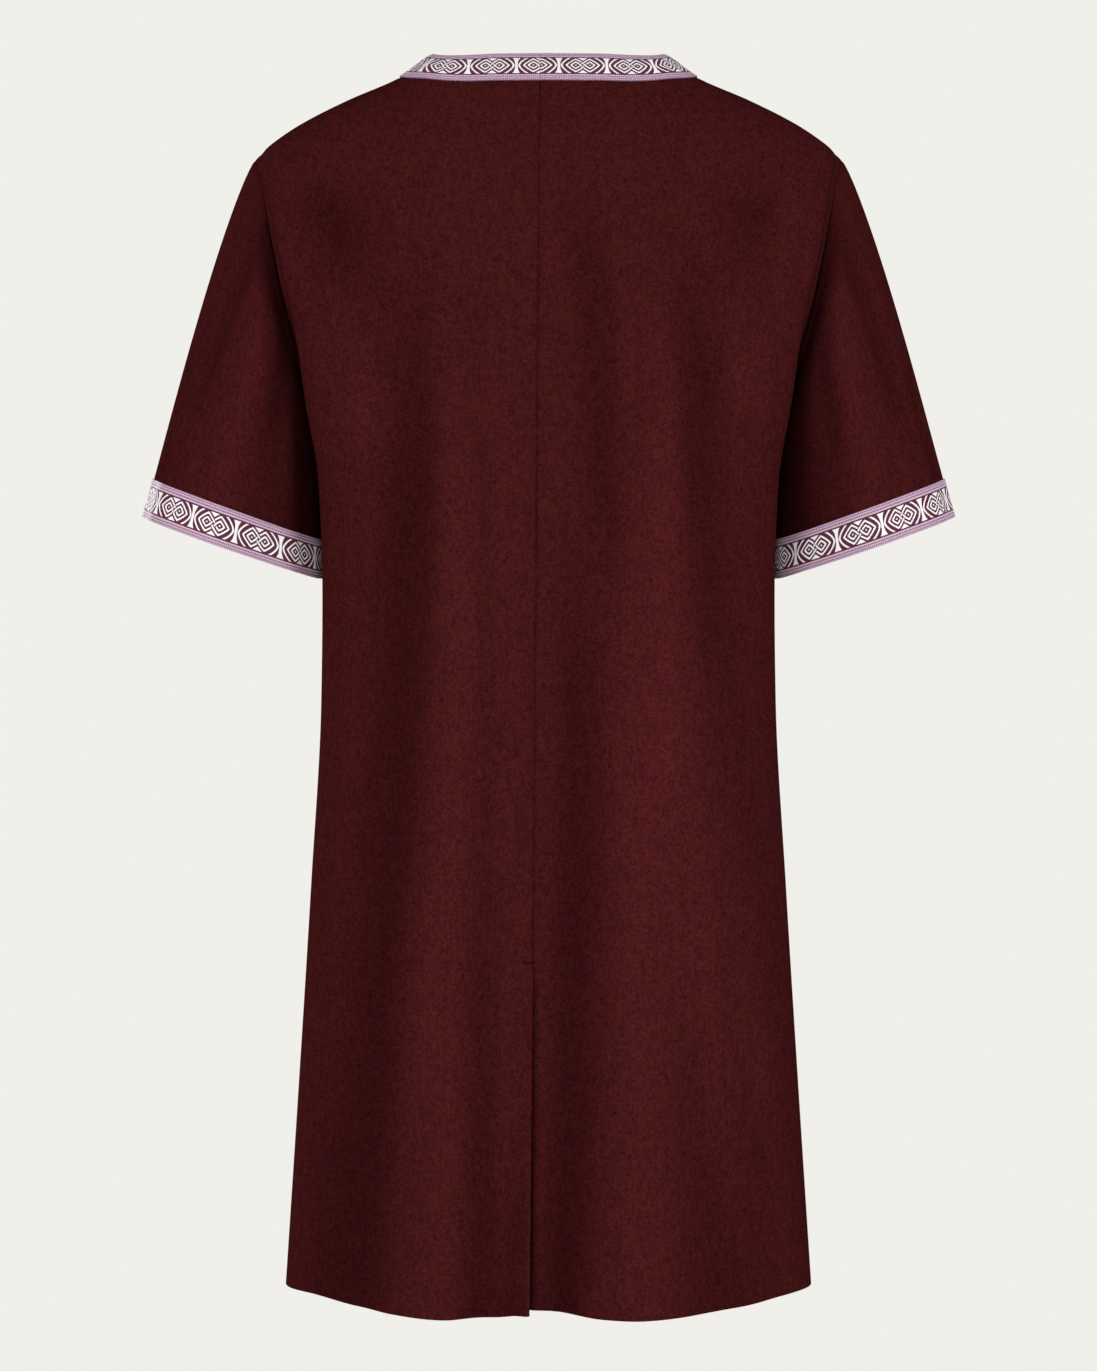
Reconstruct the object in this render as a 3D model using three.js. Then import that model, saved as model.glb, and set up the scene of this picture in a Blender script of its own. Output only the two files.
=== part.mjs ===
// A medieval tunic: a pull-on, knee-length garment with short wide sleeves and woven trim at the neck
// and cuffs, filled out as if worn. Its pieces are two back panels joined by a centre-back seam with
// a vent at the hem, one front panel, two sleeves and three bands of trim.
// Millimetres, +Z up, the front faces -Y and the wearer's left is +X. The origin lies in the middle
// plane, between the shoulder seams, level with the garment's top.
import * as THREE from 'three';

const { sin, cos, asin, abs, hypot, min, max, PI } = Math;
const RIGHT_ANGLE = PI / 2;
const BURGUNDY = 0x43191c;
const BAND = 0x9c7f8b;

// ---- driving sizes -----------------------------------------------------------------------------
const CLOTH = 1.5;               // wall of the plain cloth
const TRIM = 1.0;                // wall of the woven band
const TRIM_LIFT = 0.4;           // the band lies this far off the cloth
const TRIM_WIDTH = 33;
const SEAM_GAP = 0.3;            // between two pieces along a seam
const UNDERARM_Z = -300;
const VENT_TOP_Z = -754;
const HEM_Z = -1024.5;
const ARMHOLE_TOP_Z = -89.5;
const SHOULDER_POWER = 2.4;      // superellipse exponent of the turn over the shoulders
const COLUMN_POWER = 2.2;        // the one that spaces the columns of a panel

// ---- short tables: a row for each section, seam point or fold ---------------------------------
function table(columns, rows) {
  const names = columns.split(' ');
  return rows.map(row => Object.fromEntries(names.map((name, i) => [name, row[i]])));
}

// Half the width of the body, how far it reaches backwards or forwards in the middle (depth), where
// it turns the corner to the side seam (corner) and how square its level section is (power, the
// exponent of a superellipse), by height.
const BACK_SECTIONS = table('z wide depth corner power', [
  [-1024.5, 218.7, 145, 6, 1.8],
  [-857, 207.5, 135, 10, 1.9],
  [-690, 196.7, 124, 16, 2.0],
  [-540, 188.0, 114, 22, 2.1],
  [-437, 186.5, 114, 31, 2.2],
  [-359, 189.0, 116, 42, 2.4],
  [-300, 198.0, 118, 55, 2.4],
  [-230, 207.5, 120, 74, 2.4],
  [-173, 219.9, 119, 85, 2.4],
  [-140, 225.5, 118, 87, 2.4],
  [-110, 231.0, 118, 87, 2.4],
  [-82, 239.5, 118, 87, 2.4],
]);
const FRONT_SECTIONS = table('z wide depth corner power', [
  [-1024.5, 218.7, 140, 6, 1.8],
  [-857, 207.5, 132, 10, 1.9],
  [-690, 196.7, 123, 16, 2.0],
  [-540, 188.0, 115, 22, 2.1],
  [-437, 184.5, 116, 28, 2.2],
  [-359, 184.0, 119, 40, 2.4],
  [-300, 188.0, 121, 48, 2.4],
  [-230, 200.0, 122, 64, 2.4],
  [-173, 213.0, 120, 70, 2.4],
  [-140, 221.0, 118, 74, 2.4],
  [-110, 229.0, 118, 74, 2.4],
  [-82, 239.5, 118, 74, 2.4],
]);
const SIDE_SEAM = table('z x', [
  [-1024.5, 219.0],
  [-857, 207.8],
  [-690, 197.0],
  [-540, 188.2],
  [-437, 184.5],
  [-359, 181.0],
  [-300, 184.0],
]);

// Height of the shoulder seam over the half width, and the drift of the centre-back seam.
const RIDGE = table('x z', [
  [0, 6],
  [60, 2.5],
  [95.6, -1.9],
  [122.5, -21],
  [167, -41],
  [205, -59.5],
  [227.5, -73.5],
  [239.5, -83],
]);
const SEAM_DRIFT = table('z x', [
  [-1024.5, 15],
  [-754, 12.5],
  [0, 6.7],
]);

// The armhole seam: turn is 90 at the shoulder and 0 at the underarm.
const ARMHOLE = table('turn backX backY frontX frontY', [
  [0, 184, 0, 184, 0],
  [7.5, 199, 28, 194, -26],
  [15, 208, 46, 202, -39],
  [30, 220.5, 56, 213, -46],
  [45, 229, 51, 223, -43],
  [60, 235.5, 38, 232, -33],
  [75, 241, 20, 240, -18],
  [90, 245, 0, 245, 0],
]);

// How far the hem dips below its ends at the side seams, by the share of the half width.
const HEM_DIP = table('share back front', [
  [0, -1, 3],
  [0.4, 6, 5],
  [0.7, 3.5, 3.5],
  [0.92, -1.2, 0],
  [1, 0, 0],
]);

// Folds hang from the shoulders and blades: where each starts, its place at the start and at the hem
// as a share of the half width (+ is the wearer's left), its width as such a share, and its rise.
const BACK_FOLDS = table('top from to width rise', [
  [-180, 0.42, 0.40, 0.13, 7],
  [-150, 0.55, 0.76, 0.11, -7],
  [-520, 0.25, 0.27, 0.07, -4],
  [-450, 0.09, 0.09, 0.07, 2],
  [-150, -0.24, -0.04, 0.10, -8],
  [-180, -0.43, -0.40, 0.14, 7],
  [-200, -0.62, -0.84, 0.10, -5],
]);
const FRONT_FOLDS = table('top from to width rise', [
  [-230, 0.30, 0.36, 0.13, 7],
  [-260, 0.52, 0.66, 0.11, -6],
  [-420, 0.00, 0.03, 0.12, -6],
  [-230, -0.32, -0.34, 0.13, 7],
  [-240, -0.55, -0.70, 0.10, -6],
]);
const FOLD_RAMP = 250;           // a fold comes up over this much height
const FOLD_START_SHARE = 0.6;    // of its full rise, which it has at the hem
const FOLD_FADE_SHARE = 0.82;    // from here out to the side all folds fade away

// ---- helpers -----------------------------------------------------------------------------------
const clamp = value => min(max(value, 0), 1);
const mix = (a, b, share) => a + (b - a) * share;
const smooth = value => clamp(value) ** 2 * (3 - 2 * clamp(value));
const radians = degrees => degrees * PI / 180;

// A smooth curve through one column of a table, over another: monotone cubic pieces whose slope at
// a row is the harmonic mean of the slopes on its two sides, and held level beyond both ends.
function curve(rows, over, column) {
  const x = rows.map(row => row[over]);
  const y = rows.map(row => row[column]);
  const last = x.length - 1;
  const chord = i => (y[i + 1] - y[i]) / (x[i + 1] - x[i]);
  const slope = x.map((_, i) => {
    if (i === 0) return chord(0);
    if (i === last) return chord(last - 1);
    const before = chord(i - 1);
    const after = chord(i);
    return before * after > 0 ? 2 * before * after / (before + after) : 0;
  });
  return at => {
    if (at <= x[0]) return y[0];
    if (at >= x[last]) return y[last];
    const i = x.findIndex(value => value > at) - 1;
    const width = x[i + 1] - x[i];
    const t = (at - x[i]) / width;
    const u = 1 - t;
    return y[i] * u * u * (1 + 2 * t) + y[i + 1] * t * t * (3 - 2 * t)
      + width * t * u * (slope[i] * u - slope[i + 1] * t);
  };
}

// ---- the body's surface ------------------------------------------------------------------------
// A face is the back or the front of the body: which way it looks and its tables as curves.
function makeFace(way, sections, folds, drift, prefix, hemColumn, neckDepth, neckPower) {
  return {
    way, folds, drift, neckDepth, neckPower,
    wide: curve(sections, 'z', 'wide'),
    depth: curve(sections, 'z', 'depth'),
    corner: curve(sections, 'z', 'corner'),
    power: curve(sections, 'z', 'power'),
    armholeX: curve(ARMHOLE, 'turn', `${prefix}X`),
    armholeY: curve(ARMHOLE, 'turn', `${prefix}Y`),
    hemDip: curve(HEM_DIP, 'share', hemColumn),
  };
}
const BACK = makeFace(1, BACK_SECTIONS, BACK_FOLDS, curve(SEAM_DRIFT, 'z', 'x'), 'back', 'back', 49, 3.4);
const FRONT = makeFace(-1, FRONT_SECTIONS, FRONT_FOLDS, () => 0, 'front', 'front', 101, 2.2);
const HALF_SHOULDER = 239.5;
const HALF_NECK = 95.6;
const ridgeHeight = curve(RIDGE, 'x', 'z');
const sideSeamX = curve(SIDE_SEAM, 'z', 'x');

// A level runs round the body. At and above the underarm it climbs over the shoulder by its turn:
// rise = sin(turn) and wrap = (1 - rise^q)^(1/q), so that wrap shrinks to 0 on the shoulder seam.
const levelByTurn = turn => ({ base: UNDERARM_Z, rise: sin(turn) });
const levelByHeight = z => ({ base: z, rise: 0 });
const wrapOf = rise => clamp(1 - rise ** SHOULDER_POWER) ** (1 / SHOULDER_POWER);

// share runs from 0 on the centre line to 1 where the panel turns in to the armhole or side seam;
// half is +1 on the wearer's left. The centre line drifts: x = half*share*wide + drift*(1 - share)^2.
const acrossAt = (half, share, wide, drift) => half * share * wide + drift * (1 - share) ** 2;
function heightOf(face, half, share, level) {
  const x = acrossAt(half, share, HALF_SHOULDER, face.drift(0));
  return mix(level.base, ridgeHeight(abs(x)), level.rise);
}

// Sum of the folds: each is a bump of cosine form across, which grows from its top to the hem.
function foldRise(face, share, z) {
  let sum = 0;
  for (const fold of face.folds) {
    const progress = clamp((fold.top - z) / (fold.top - HEM_Z));
    const across = abs(share - mix(fold.from, fold.to, progress)) / fold.width;
    const growth = smooth((fold.top - z) / FOLD_RAMP) * mix(FOLD_START_SHARE, 1, progress);
    if (across < 1) sum += fold.rise * growth * (1 + cos(PI * across)) / 2;
  }
  return sum * (1 - smooth((abs(share) - FOLD_FADE_SHARE) / (1 - FOLD_FADE_SHARE)));
}

// y = way * (wrap * (corner + (depth - corner) * (1 - |x/wide|^n)^(1/n)) + folds)
function reach(face, x, z, wrap) {
  const share = clamp(abs(x) / face.wide(z));
  const round = clamp(1 - share ** face.power(z)) ** (1 / face.power(z));
  return face.way * (wrap * mix(face.corner(z), face.depth(z), round) + foldRise(face, x / face.wide(z), z));
}

function bodyPoint(face, half, share, level) {
  const z = heightOf(face, half, share, level);
  const x = acrossAt(half, share, face.wide(z), face.drift(z));
  return new THREE.Vector3(x, reach(face, x, z, wrapOf(level.rise)), z);
}

// The seam that ends a level: the armhole above the underarm, the side seam below it.
function seamPoint(face, half, level, turn) {
  if (level.rise === 0) return new THREE.Vector3(half * sideSeamX(level.base), 0, level.base);
  const degrees = turn * 180 / PI;
  const z = mix(UNDERARM_Z, ARMHOLE_TOP_Z, level.rise);
  return new THREE.Vector3(half * face.armholeX(degrees), face.armholeY(degrees), z);
}

// From share 1 the panel curls in to its seam on a quadratic curve that leaves straight inwards.
const CURL_PULL = 0.35;
function curlPoint(face, half, level, turn, t) {
  const start = bodyPoint(face, half, 1, level);
  const end = seamPoint(face, half, level, turn);
  const pull = new THREE.Vector3(start.x, mix(end.y, start.y, CURL_PULL), (start.z + end.z) / 2);
  return new THREE.QuadraticBezierCurve3(start, pull, end).getPoint(t);
}

// The share and turn of the point over (x, y) in plan, found by repeated substitution.
const PLAN_STEPS = 40;
function atPlan(face, half, x, y) {
  let share = clamp(half * x / HALF_SHOULDER);
  let turn = RIGHT_ANGLE;
  for (let step = 0; step < PLAN_STEPS; step += 1) {
    const z = heightOf(face, half, share, levelByTurn(turn));
    const wrap = clamp(abs(y / reach(face, x, z, 1)));
    turn = asin(wrapOf(wrap));
    share = clamp(half * (x - face.drift(z) * (1 - share) ** 2) / face.wide(z));
  }
  return { share, turn };
}

// ---- the neckline and the band's outer edge ----------------------------------------------------
const NECK_COLUMNS = 6;
const TRIM_ROWS = 2;
const MARCH_STEPS = 6;           // over the band's width
const NEARBY_COLUMN = 0.02;      // to take the neckline's direction
const NEARBY_PLACE = 0.004;      // to take the surface's

// The neckline is a superellipse in plan: x = a*sin(t)^(2/e), y = b*cos(t)^(2/e).
function neckPlan(face, half, column) {
  const start = half * asin(face.drift(0) / HALF_NECK);
  const t = mix(start, RIGHT_ANGLE, column / NECK_COLUMNS);
  const power = 2 / face.neckPower;
  const x = half * HALF_NECK * Math.sign(sin(t)) * abs(sin(t)) ** power;
  return { x, y: face.way * face.neckDepth * cos(min(t, RIGHT_ANGLE)) ** power };
}

function surfaceNormal(face, half, place) {
  const at = (share, turn) => bodyPoint(face, half, share, levelByTurn(turn));
  const outer = at(place.share + NEARBY_PLACE, place.turn);
  const inner = at(max(place.share - NEARBY_PLACE, 0), place.turn);
  const lower = at(place.share, place.turn - NEARBY_PLACE);
  const upper = at(place.share, min(place.turn + NEARBY_PLACE, RIGHT_ANGLE));
  const normal = outer.sub(inner).cross(lower.sub(upper)).normalize();
  return normal.z < 0 ? normal.negate() : normal;
}

// Places on the surface from the neckline outwards, square to it, one for each step of the march.
function marchOut(face, half, column) {
  const here = neckPlan(face, half, column);
  const before = neckPlan(face, half, column - NEARBY_COLUMN);
  const after = neckPlan(face, half, min(column + NEARBY_COLUMN, NECK_COLUMNS));
  const onSeam = column === NECK_COLUMNS;
  const along = onSeam
    ? new THREE.Vector3(0, 1, 0)
    : new THREE.Vector3(after.x - before.x, after.y - before.y, 0);
  let place = atPlan(face, half, here.x, onSeam ? 0 : here.y);
  if (column === 0) place.share = 0;
  const places = [place];
  for (let step = 0; step < MARCH_STEPS; step += 1) {
    const point = bodyPoint(face, half, place.share, levelByTurn(place.turn));
    const normal = surfaceNormal(face, half, place);
    if (onSeam) normal.y = 0;
    if (column === 0) normal.x = 0;
    const out = normal.clone().cross(along).normalize();
    if (out.x * point.x + out.y * point.y < 0) out.negate();
    if (column === 0) out.x = 0;
    point.addScaledVector(out, TRIM_WIDTH / MARCH_STEPS);
    place = atPlan(face, half, point.x, onSeam ? 0 : point.y);
    if (column === 0) place.share = 0;
    places.push(place);
  }
  return places;
}

// ---- a panel's grid ----------------------------------------------------------------------------
// Rows run down, columns from the centre line to the seam. The first rows hold only the neck
// columns: they lie under the band and end at the shoulder seam.
const BODY_COLUMNS = 14;
const CURL_COLUMNS = 3;
const YOKE_ROWS = 12;            // shoulder or band to underarm
const WAIST_ROWS = 9;            // underarm to vent
const SKIRT_ROWS = 6;            // vent to hem
const RIDGE_ROW = TRIM_ROWS;
const UNDERARM_ROW = RIDGE_ROW + YOKE_ROWS;
const VENT_ROW = UNDERARM_ROW + WAIST_ROWS;
const HEM_ROW = VENT_ROW + SKIRT_ROWS;
const SEAM_COLUMN = BODY_COLUMNS + CURL_COLUMNS;

// Shares spaced evenly by angle round the section, from one share to 1.
const angleOf = share => asin(share ** (COLUMN_POWER / 2));
function shareByAngle(from, step, steps) {
  return sin(mix(angleOf(from), RIGHT_ANGLE, step / steps)) ** (2 / COLUMN_POWER);
}

function halfPanel(face, half) {
  const marches = Array.from({ length: NECK_COLUMNS + 1 }, (_, column) => marchOut(face, half, column));
  const bandEdge = marches.map(places => places[MARCH_STEPS]);
  const shoulderShare = bandEdge[NECK_COLUMNS].share;

  // A yoke row blends from the band's edge or the shoulder seam down to the underarm's level.
  function yokePlace(column, row) {
    const top = column <= NECK_COLUMNS
      ? bandEdge[column]
      : {
        share: shareByAngle(shoulderShare, column - NECK_COLUMNS, BODY_COLUMNS - NECK_COLUMNS),
        turn: RIGHT_ANGLE,
      };
    const down = (row - RIDGE_ROW) / YOKE_ROWS;
    return {
      share: mix(top.share, shareByAngle(0, column, BODY_COLUMNS), down),
      turn: top.turn * (1 - down),
    };
  }

  function heightBelow(row, share) {
    if (row <= VENT_ROW) return mix(UNDERARM_Z, VENT_TOP_Z, (row - UNDERARM_ROW) / WAIST_ROWS);
    return mix(VENT_TOP_Z, HEM_Z - face.hemDip(share), (row - VENT_ROW) / SKIRT_ROWS);
  }

  function point(row, column) {
    if (row < RIDGE_ROW) {
      const place = marches[min(column, NECK_COLUMNS)][row * MARCH_STEPS / TRIM_ROWS];
      return bodyPoint(face, half, place.share, levelByTurn(place.turn));
    }
    if (column > BODY_COLUMNS) {
      const turn = RIGHT_ANGLE * clamp(1 - (row - RIDGE_ROW) / YOKE_ROWS);
      const level = row < UNDERARM_ROW ? levelByTurn(turn) : levelByHeight(heightBelow(row, 1));
      return curlPoint(face, half, level, turn, (column - BODY_COLUMNS) / CURL_COLUMNS);
    }
    if (row < UNDERARM_ROW) {
      const place = yokePlace(column, row);
      return bodyPoint(face, half, place.share, levelByTurn(place.turn));
    }
    const share = shareByAngle(0, column, BODY_COLUMNS);
    return bodyPoint(face, half, share, levelByHeight(heightBelow(row, share)));
  }

  return Array.from({ length: HEM_ROW + 1 }, (_, row) =>
    Array.from({ length: SEAM_COLUMN + 1 }, (__, column) => {
      if (row < RIDGE_ROW && column > NECK_COLUMNS) return null;
      const onShoulder = (row === RIDGE_ROW && column >= NECK_COLUMNS)
        || (row < RIDGE_ROW && column === NECK_COLUMNS);
      const onSide = column === SEAM_COLUMN && row >= UNDERARM_ROW;
      return {
        p: point(row, column),
        facesFront: onShoulder || onSide,
        facesCentre: column === 0,
      };
    }));
}

// Unit normals from the neighbours in the grid, all on the side that the hint looks to.
function addNormals(grid, hint, wrap = false) {
  const rows = grid.length;
  const columns = grid[0].length;
  const at = (row, column) => grid[row]?.[wrap ? (column + columns) % columns : column] ?? null;
  let agreement = 0;
  for (let row = 0; row < rows; row += 1) {
    for (let column = 0; column < columns; column += 1) {
      const vertex = at(row, column);
      if (!vertex) continue;
      const right = (at(row, column + 1) ?? vertex).p.clone();
      const left = (at(row, column - 1) ?? vertex).p;
      const below = (at(row + 1, column) ?? vertex).p.clone();
      const above = (at(row - 1, column) ?? vertex).p;
      vertex.n = right.sub(left).cross(below.sub(above)).normalize();
      agreement += vertex.n.dot(hint(vertex.p));
    }
  }
  for (const vertex of grid.flat()) {
    if (vertex && agreement < 0) vertex.n.negate();
  }
}

// On a seam both sides share a normal that lies in the seam's plane, and each steps back half a gap.
function settleSeams(grid, face, half) {
  for (const vertex of grid.flat()) {
    if (!vertex) continue;
    vertex.shift = new THREE.Vector3();
    if (vertex.facesFront) {
      vertex.n.y = 0;
      vertex.shift.y = face.way * SEAM_GAP / 2;
    }
    if (vertex.facesCentre) {
      vertex.n.x = 0;
      if (half) vertex.shift.x = half * SEAM_GAP / 2;
    }
    vertex.n.normalize();
  }
}

// ---- panels ------------------------------------------------------------------------------------
const backLeft = halfPanel(BACK, 1);
const backRight = halfPanel(BACK, -1);
const frontLeft = halfPanel(FRONT, 1);
const frontRight = halfPanel(FRONT, -1);
const front = frontLeft.map((row, i) => [...frontRight[i].slice(1).reverse(), ...row]);

// The right back carries an underlap from the vent down. It lies behind the left back's free edge,
// and the cloth beside the seam sinks with it, deeper towards the hem.
const UNDERLAP_COLUMNS = 2;
const UNDERLAP_STEP = 14;
const VENT_SINK_TOP = 2.4;
const VENT_SINK_HEM = 9;
const SINK_REACH = 45;
function ventSink(row, distance) {
  if (row < VENT_ROW) return 0;
  const depth = mix(VENT_SINK_TOP, VENT_SINK_HEM, (row - VENT_ROW) / SKIRT_ROWS);
  return depth * (1 - smooth(distance / SINK_REACH));
}
backRight.forEach((row, i) => {
  const seam = row[0].p.clone();
  for (const vertex of row) {
    if (vertex) vertex.p.y -= ventSink(i, seam.x - vertex.p.x);
  }
  for (let step = 1; step <= UNDERLAP_COLUMNS; step += 1) {
    const x = seam.x + step * UNDERLAP_STEP;
    const y = reach(BACK, x, seam.z, 1) - ventSink(i, 0);
    row.unshift(i < VENT_ROW ? null : { p: new THREE.Vector3(x, y, seam.z) });
  }
});

const outOfBack = () => new THREE.Vector3(0, 1, 0);
const outOfFront = () => new THREE.Vector3(0, -1, 0);
addNormals(backLeft, outOfBack);
addNormals(backRight, outOfBack);
addNormals(front, outOfFront);
settleSeams(backLeft, BACK, 1);
settleSeams(backRight, BACK, -1);
settleSeams(front, FRONT, 0);

// ---- sleeves -----------------------------------------------------------------------------------
// A sleeve runs from the armhole seam to an oval cuff. Between them it swells a little, most on its
// front and back, and its underside hangs almost straight down, just clear of the body.
const SLEEVE_ROWS = 9;
const CUFF = {
  x: 266.3, y: -20, z: -411.4,   // centre of the opening, on the wearer's left
  high: 78.9, deep: 53,          // half axes
  lean: radians(19.2), roll: radians(3.2),
};
const SWELL_TOP = 6;
const SWELL_SIDES = 15;
const SWELL_UNDER = 5;           // the underside swells off the body instead
const SWELL_HEAD = 0.5;          // exponents of the swell at the armhole and at the cuff
const SWELL_FOOT = 1.3;
const SWELL_PEAK = SWELL_HEAD / (SWELL_HEAD + SWELL_FOOT);
const ROW_CROWDING = 1.25;       // the rows lie closer near the armhole
const MITRE_LIMIT = 2;
const swellShape = t => t ** SWELL_HEAD * (1 - t) ** SWELL_FOOT;
const swellOver = t => swellShape(t) / swellShape(SWELL_PEAK);

function sleeveGrid(half, backPanel, frontPanel) {
  const yoke = Array.from({ length: YOKE_ROWS + 1 }, (_, i) => RIDGE_ROW + i);
  const seamOf = (panel, row) => panel[row][panel[row].length - 1];
  const backSeam = yoke.map(row => seamOf(backPanel, row));
  const frontSeam = yoke.slice(1, -1).reverse().map(row => seamOf(frontPanel, row));
  const seam = [...backSeam, ...frontSeam];
  const count = seam.length;

  // Each point's angle round the cuff follows its share of the seam's length, 180 at the underarm.
  const lengths = seam.map((vertex, i) => vertex.p.distanceTo(seam[(i + 1) % count].p));
  const sum = list => list.reduce((total, value) => total + value, 0);
  const backLength = sum(lengths.slice(0, YOKE_ROWS));
  const frontLength = sum(lengths.slice(YOKE_ROWS));
  const angles = seam.map((_, i) => (i <= YOKE_ROWS
    ? PI * sum(lengths.slice(0, i)) / backLength
    : PI + PI * sum(lengths.slice(YOKE_ROWS, i)) / frontLength));

  const centre = new THREE.Vector3(half * CUFF.x, CUFF.y, CUFF.z);
  const up = new THREE.Vector3(half * cos(CUFF.lean), 0, sin(CUFF.lean));
  const back = new THREE.Vector3(0, cos(CUFF.roll), -sin(CUFF.roll));
  const spoke = (angle, high, deep) =>
    up.clone().multiplyScalar(high * cos(angle)).addScaledVector(back, deep * sin(angle));
  const cuff = angles.map(angle => spoke(angle, CUFF.high, CUFF.deep).add(centre));

  const share = (row, i) => {
    const bandShare = 1 - TRIM_WIDTH / seam[i].p.distanceTo(cuff[i]);
    if (row > SLEEVE_ROWS) return mix(bandShare, 1, (row - SLEEVE_ROWS) / TRIM_ROWS);
    return bandShare * (row / SLEEVE_ROWS) ** ROW_CROWDING;
  };
  const grid = Array.from({ length: SLEEVE_ROWS + TRIM_ROWS + 1 }, (_, row) => seam.map((vertex, i) => {
    const t = share(row, i);
    const swell = spoke(angles[i], SWELL_TOP * max(cos(angles[i]), 0), SWELL_SIDES * abs(sin(angles[i])));
    swell.x += half * SWELL_UNDER * ((1 - cos(angles[i])) / 2) ** 2;
    const p = vertex.p.clone().lerp(cuff[i], t).addScaledVector(swell, swellOver(t));
    return { p, shift: new THREE.Vector3() };
  }));
  const axisPoint = grid.map(row => row.reduce((total, vertex) => total.add(vertex.p), new THREE.Vector3()));
  axisPoint.forEach(point => point.divideScalar(count));
  const nearest = point => axisPoint.reduce((best, candidate) =>
    (candidate.distanceTo(point) < best.distanceTo(point) ? candidate : best));
  addNormals(grid, point => point.clone().sub(nearest(point)), true);

  // The armhole seam: panels and sleeve share a normal, and the sleeve steps off by the gap. Where
  // they meet in a sharp valley the rims are longer, as at a mitre, to keep the wall's thickness.
  seam.forEach((vertex, i) => {
    const shared = vertex.n.clone().add(grid[0][i].n);
    const meeting = [vertex, grid[0][i]];
    if (i === 0) meeting.push(seamOf(frontPanel, RIDGE_ROW));
    if (i === YOKE_ROWS) meeting.push(seamOf(frontPanel, UNDERARM_ROW));
    if (meeting.length > 2) shared.y = 0;
    shared.normalize();
    const along = seam[(i + 1) % count].p.clone().sub(seam[(i + count - 1) % count].p);
    const away = along.cross(shared).normalize().multiplyScalar(half);
    const openness = neighbour => {
      const arm = neighbour.p.clone().sub(vertex.p);
      return abs(arm.dot(away)) / hypot(arm.dot(away), arm.dot(shared));
    };
    const panel = i <= YOKE_ROWS ? backPanel : frontPanel;
    const row = RIDGE_ROW + (i <= YOKE_ROWS ? i : count - i);
    const panelNeighbour = panel[row][panel[row].length - 2];
    const mitre = min(2 / (openness(panelNeighbour) + openness(grid[1][i])), MITRE_LIMIT);
    for (const each of meeting) {
      each.n.copy(shared);
      each.mitre = mitre;
    }
    grid[0][i].shift.copy(away).multiplyScalar(SEAM_GAP);
  });
  return grid;
}
const sleeveLeft = sleeveGrid(1, backLeft, front);
const frontMirrored = front.map(row => [...row].reverse());
const sleeveRight = sleeveGrid(-1, backRight, frontMirrored);

// ---- bands -------------------------------------------------------------------------------------
// The bands take the points of the cloth under them. The neck band goes round from the centre back
// over the left shoulder, and is laid on after the seams are closed.
const neckRows = [...Array(TRIM_ROWS + 1).keys()];
const centreFront = SEAM_COLUMN;
const backRightCentre = UNDERLAP_COLUMNS;
const neckBand = neckRows.map(row => [
  ...backLeft[row].slice(0, NECK_COLUMNS + 1),
  ...front[row].slice(centreFront - NECK_COLUMNS, centreFront + NECK_COLUMNS).reverse(),
  ...backRight[row].slice(backRightCentre + 1, backRightCentre + NECK_COLUMNS).reverse(),
]);
const cuffBand = sleeve => sleeve.slice(SLEEVE_ROWS);

// ---- walls -------------------------------------------------------------------------------------
// A wall is the grid's surface moved out to two offsets along the normals, closed round every edge.
// Missing vertices leave their cells out. Each cell splits along its shorter diagonal, and so does
// the rim between two vertices. Both are measured before the shift at a seam, so that a band has the
// same facets as the cloth under it, and the two rims along a seam match.
function wall(grid, low, high, { wrap = false, onSeams = true } = {}) {
  const rows = grid.length;
  const columns = grid[0].length;
  const vertices = new Map();
  const positions = [];
  const index = [];
  const offset = (vertex, by) =>
    vertex.p.clone().addScaledVector(vertex.n, by < 0 ? by * (vertex.mitre ?? 1) : by);
  const addVertex = (vertex, by) => {
    const point = offset(vertex, by);
    if (onSeams && vertex.shift) point.add(vertex.shift);
    positions.push(point.x, point.y, point.z);
    return positions.length / 3 - 1;
  };
  const cells = [];
  for (let row = 0; row + 1 < rows; row += 1) {
    for (let column = 0; column < columns - (wrap ? 0 : 1); column += 1) {
      const next = (column + 1) % columns;
      const ring = [grid[row][column], grid[row + 1][column], grid[row + 1][next], grid[row][next]];
      if (ring.every(Boolean)) cells.push(ring);
    }
  }
  const facing = cells.reduce((total, [a, b, c]) =>
    total + b.p.clone().sub(a.p).cross(c.p.clone().sub(a.p)).dot(a.n), 0);
  if (facing < 0) cells.forEach(ring => ring.reverse());

  const pair = vertex => {
    if (!vertices.has(vertex)) vertices.set(vertex, [addVertex(vertex, high), addVertex(vertex, low)]);
    return vertices.get(vertex);
  };
  const slant = (a, b) => offset(a, high).distanceTo(offset(b, low));
  const edges = new Map();
  for (const ring of cells) {
    const [a, b, c, d] = ring.map(pair);
    const even = ring[0].p.distanceTo(ring[2].p) <= ring[1].p.distanceTo(ring[3].p);
    const triangles = even ? [[a, b, c], [a, c, d]] : [[a, b, d], [b, c, d]];
    for (const [p, q, r] of triangles) {
      index.push(p[0], q[0], r[0]);
      index.push(r[1], q[1], p[1]);
    }
    [a, b, c, d].forEach((p, i) => {
      const q = [b, c, d, a][i];
      const back = `${q[0]}:${p[0]}`;
      if (edges.has(back)) edges.delete(back);
      else edges.set(`${p[0]}:${q[0]}`, { p, q, from: ring[i], to: ring[(i + 1) % 4] });
    });
  }
  for (const { p, q, from, to } of edges.values()) {
    if (slant(to, from) < slant(from, to)) index.push(q[0], p[0], p[1], q[0], p[1], q[1]);
    else index.push(q[0], p[0], q[1], p[0], p[1], q[1]);
  }
  const geometry = new THREE.BufferGeometry();
  geometry.setAttribute('position', new THREE.Float32BufferAttribute(positions, 3));
  geometry.setIndex(index);
  geometry.computeVertexNormals();
  return geometry;
}

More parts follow.
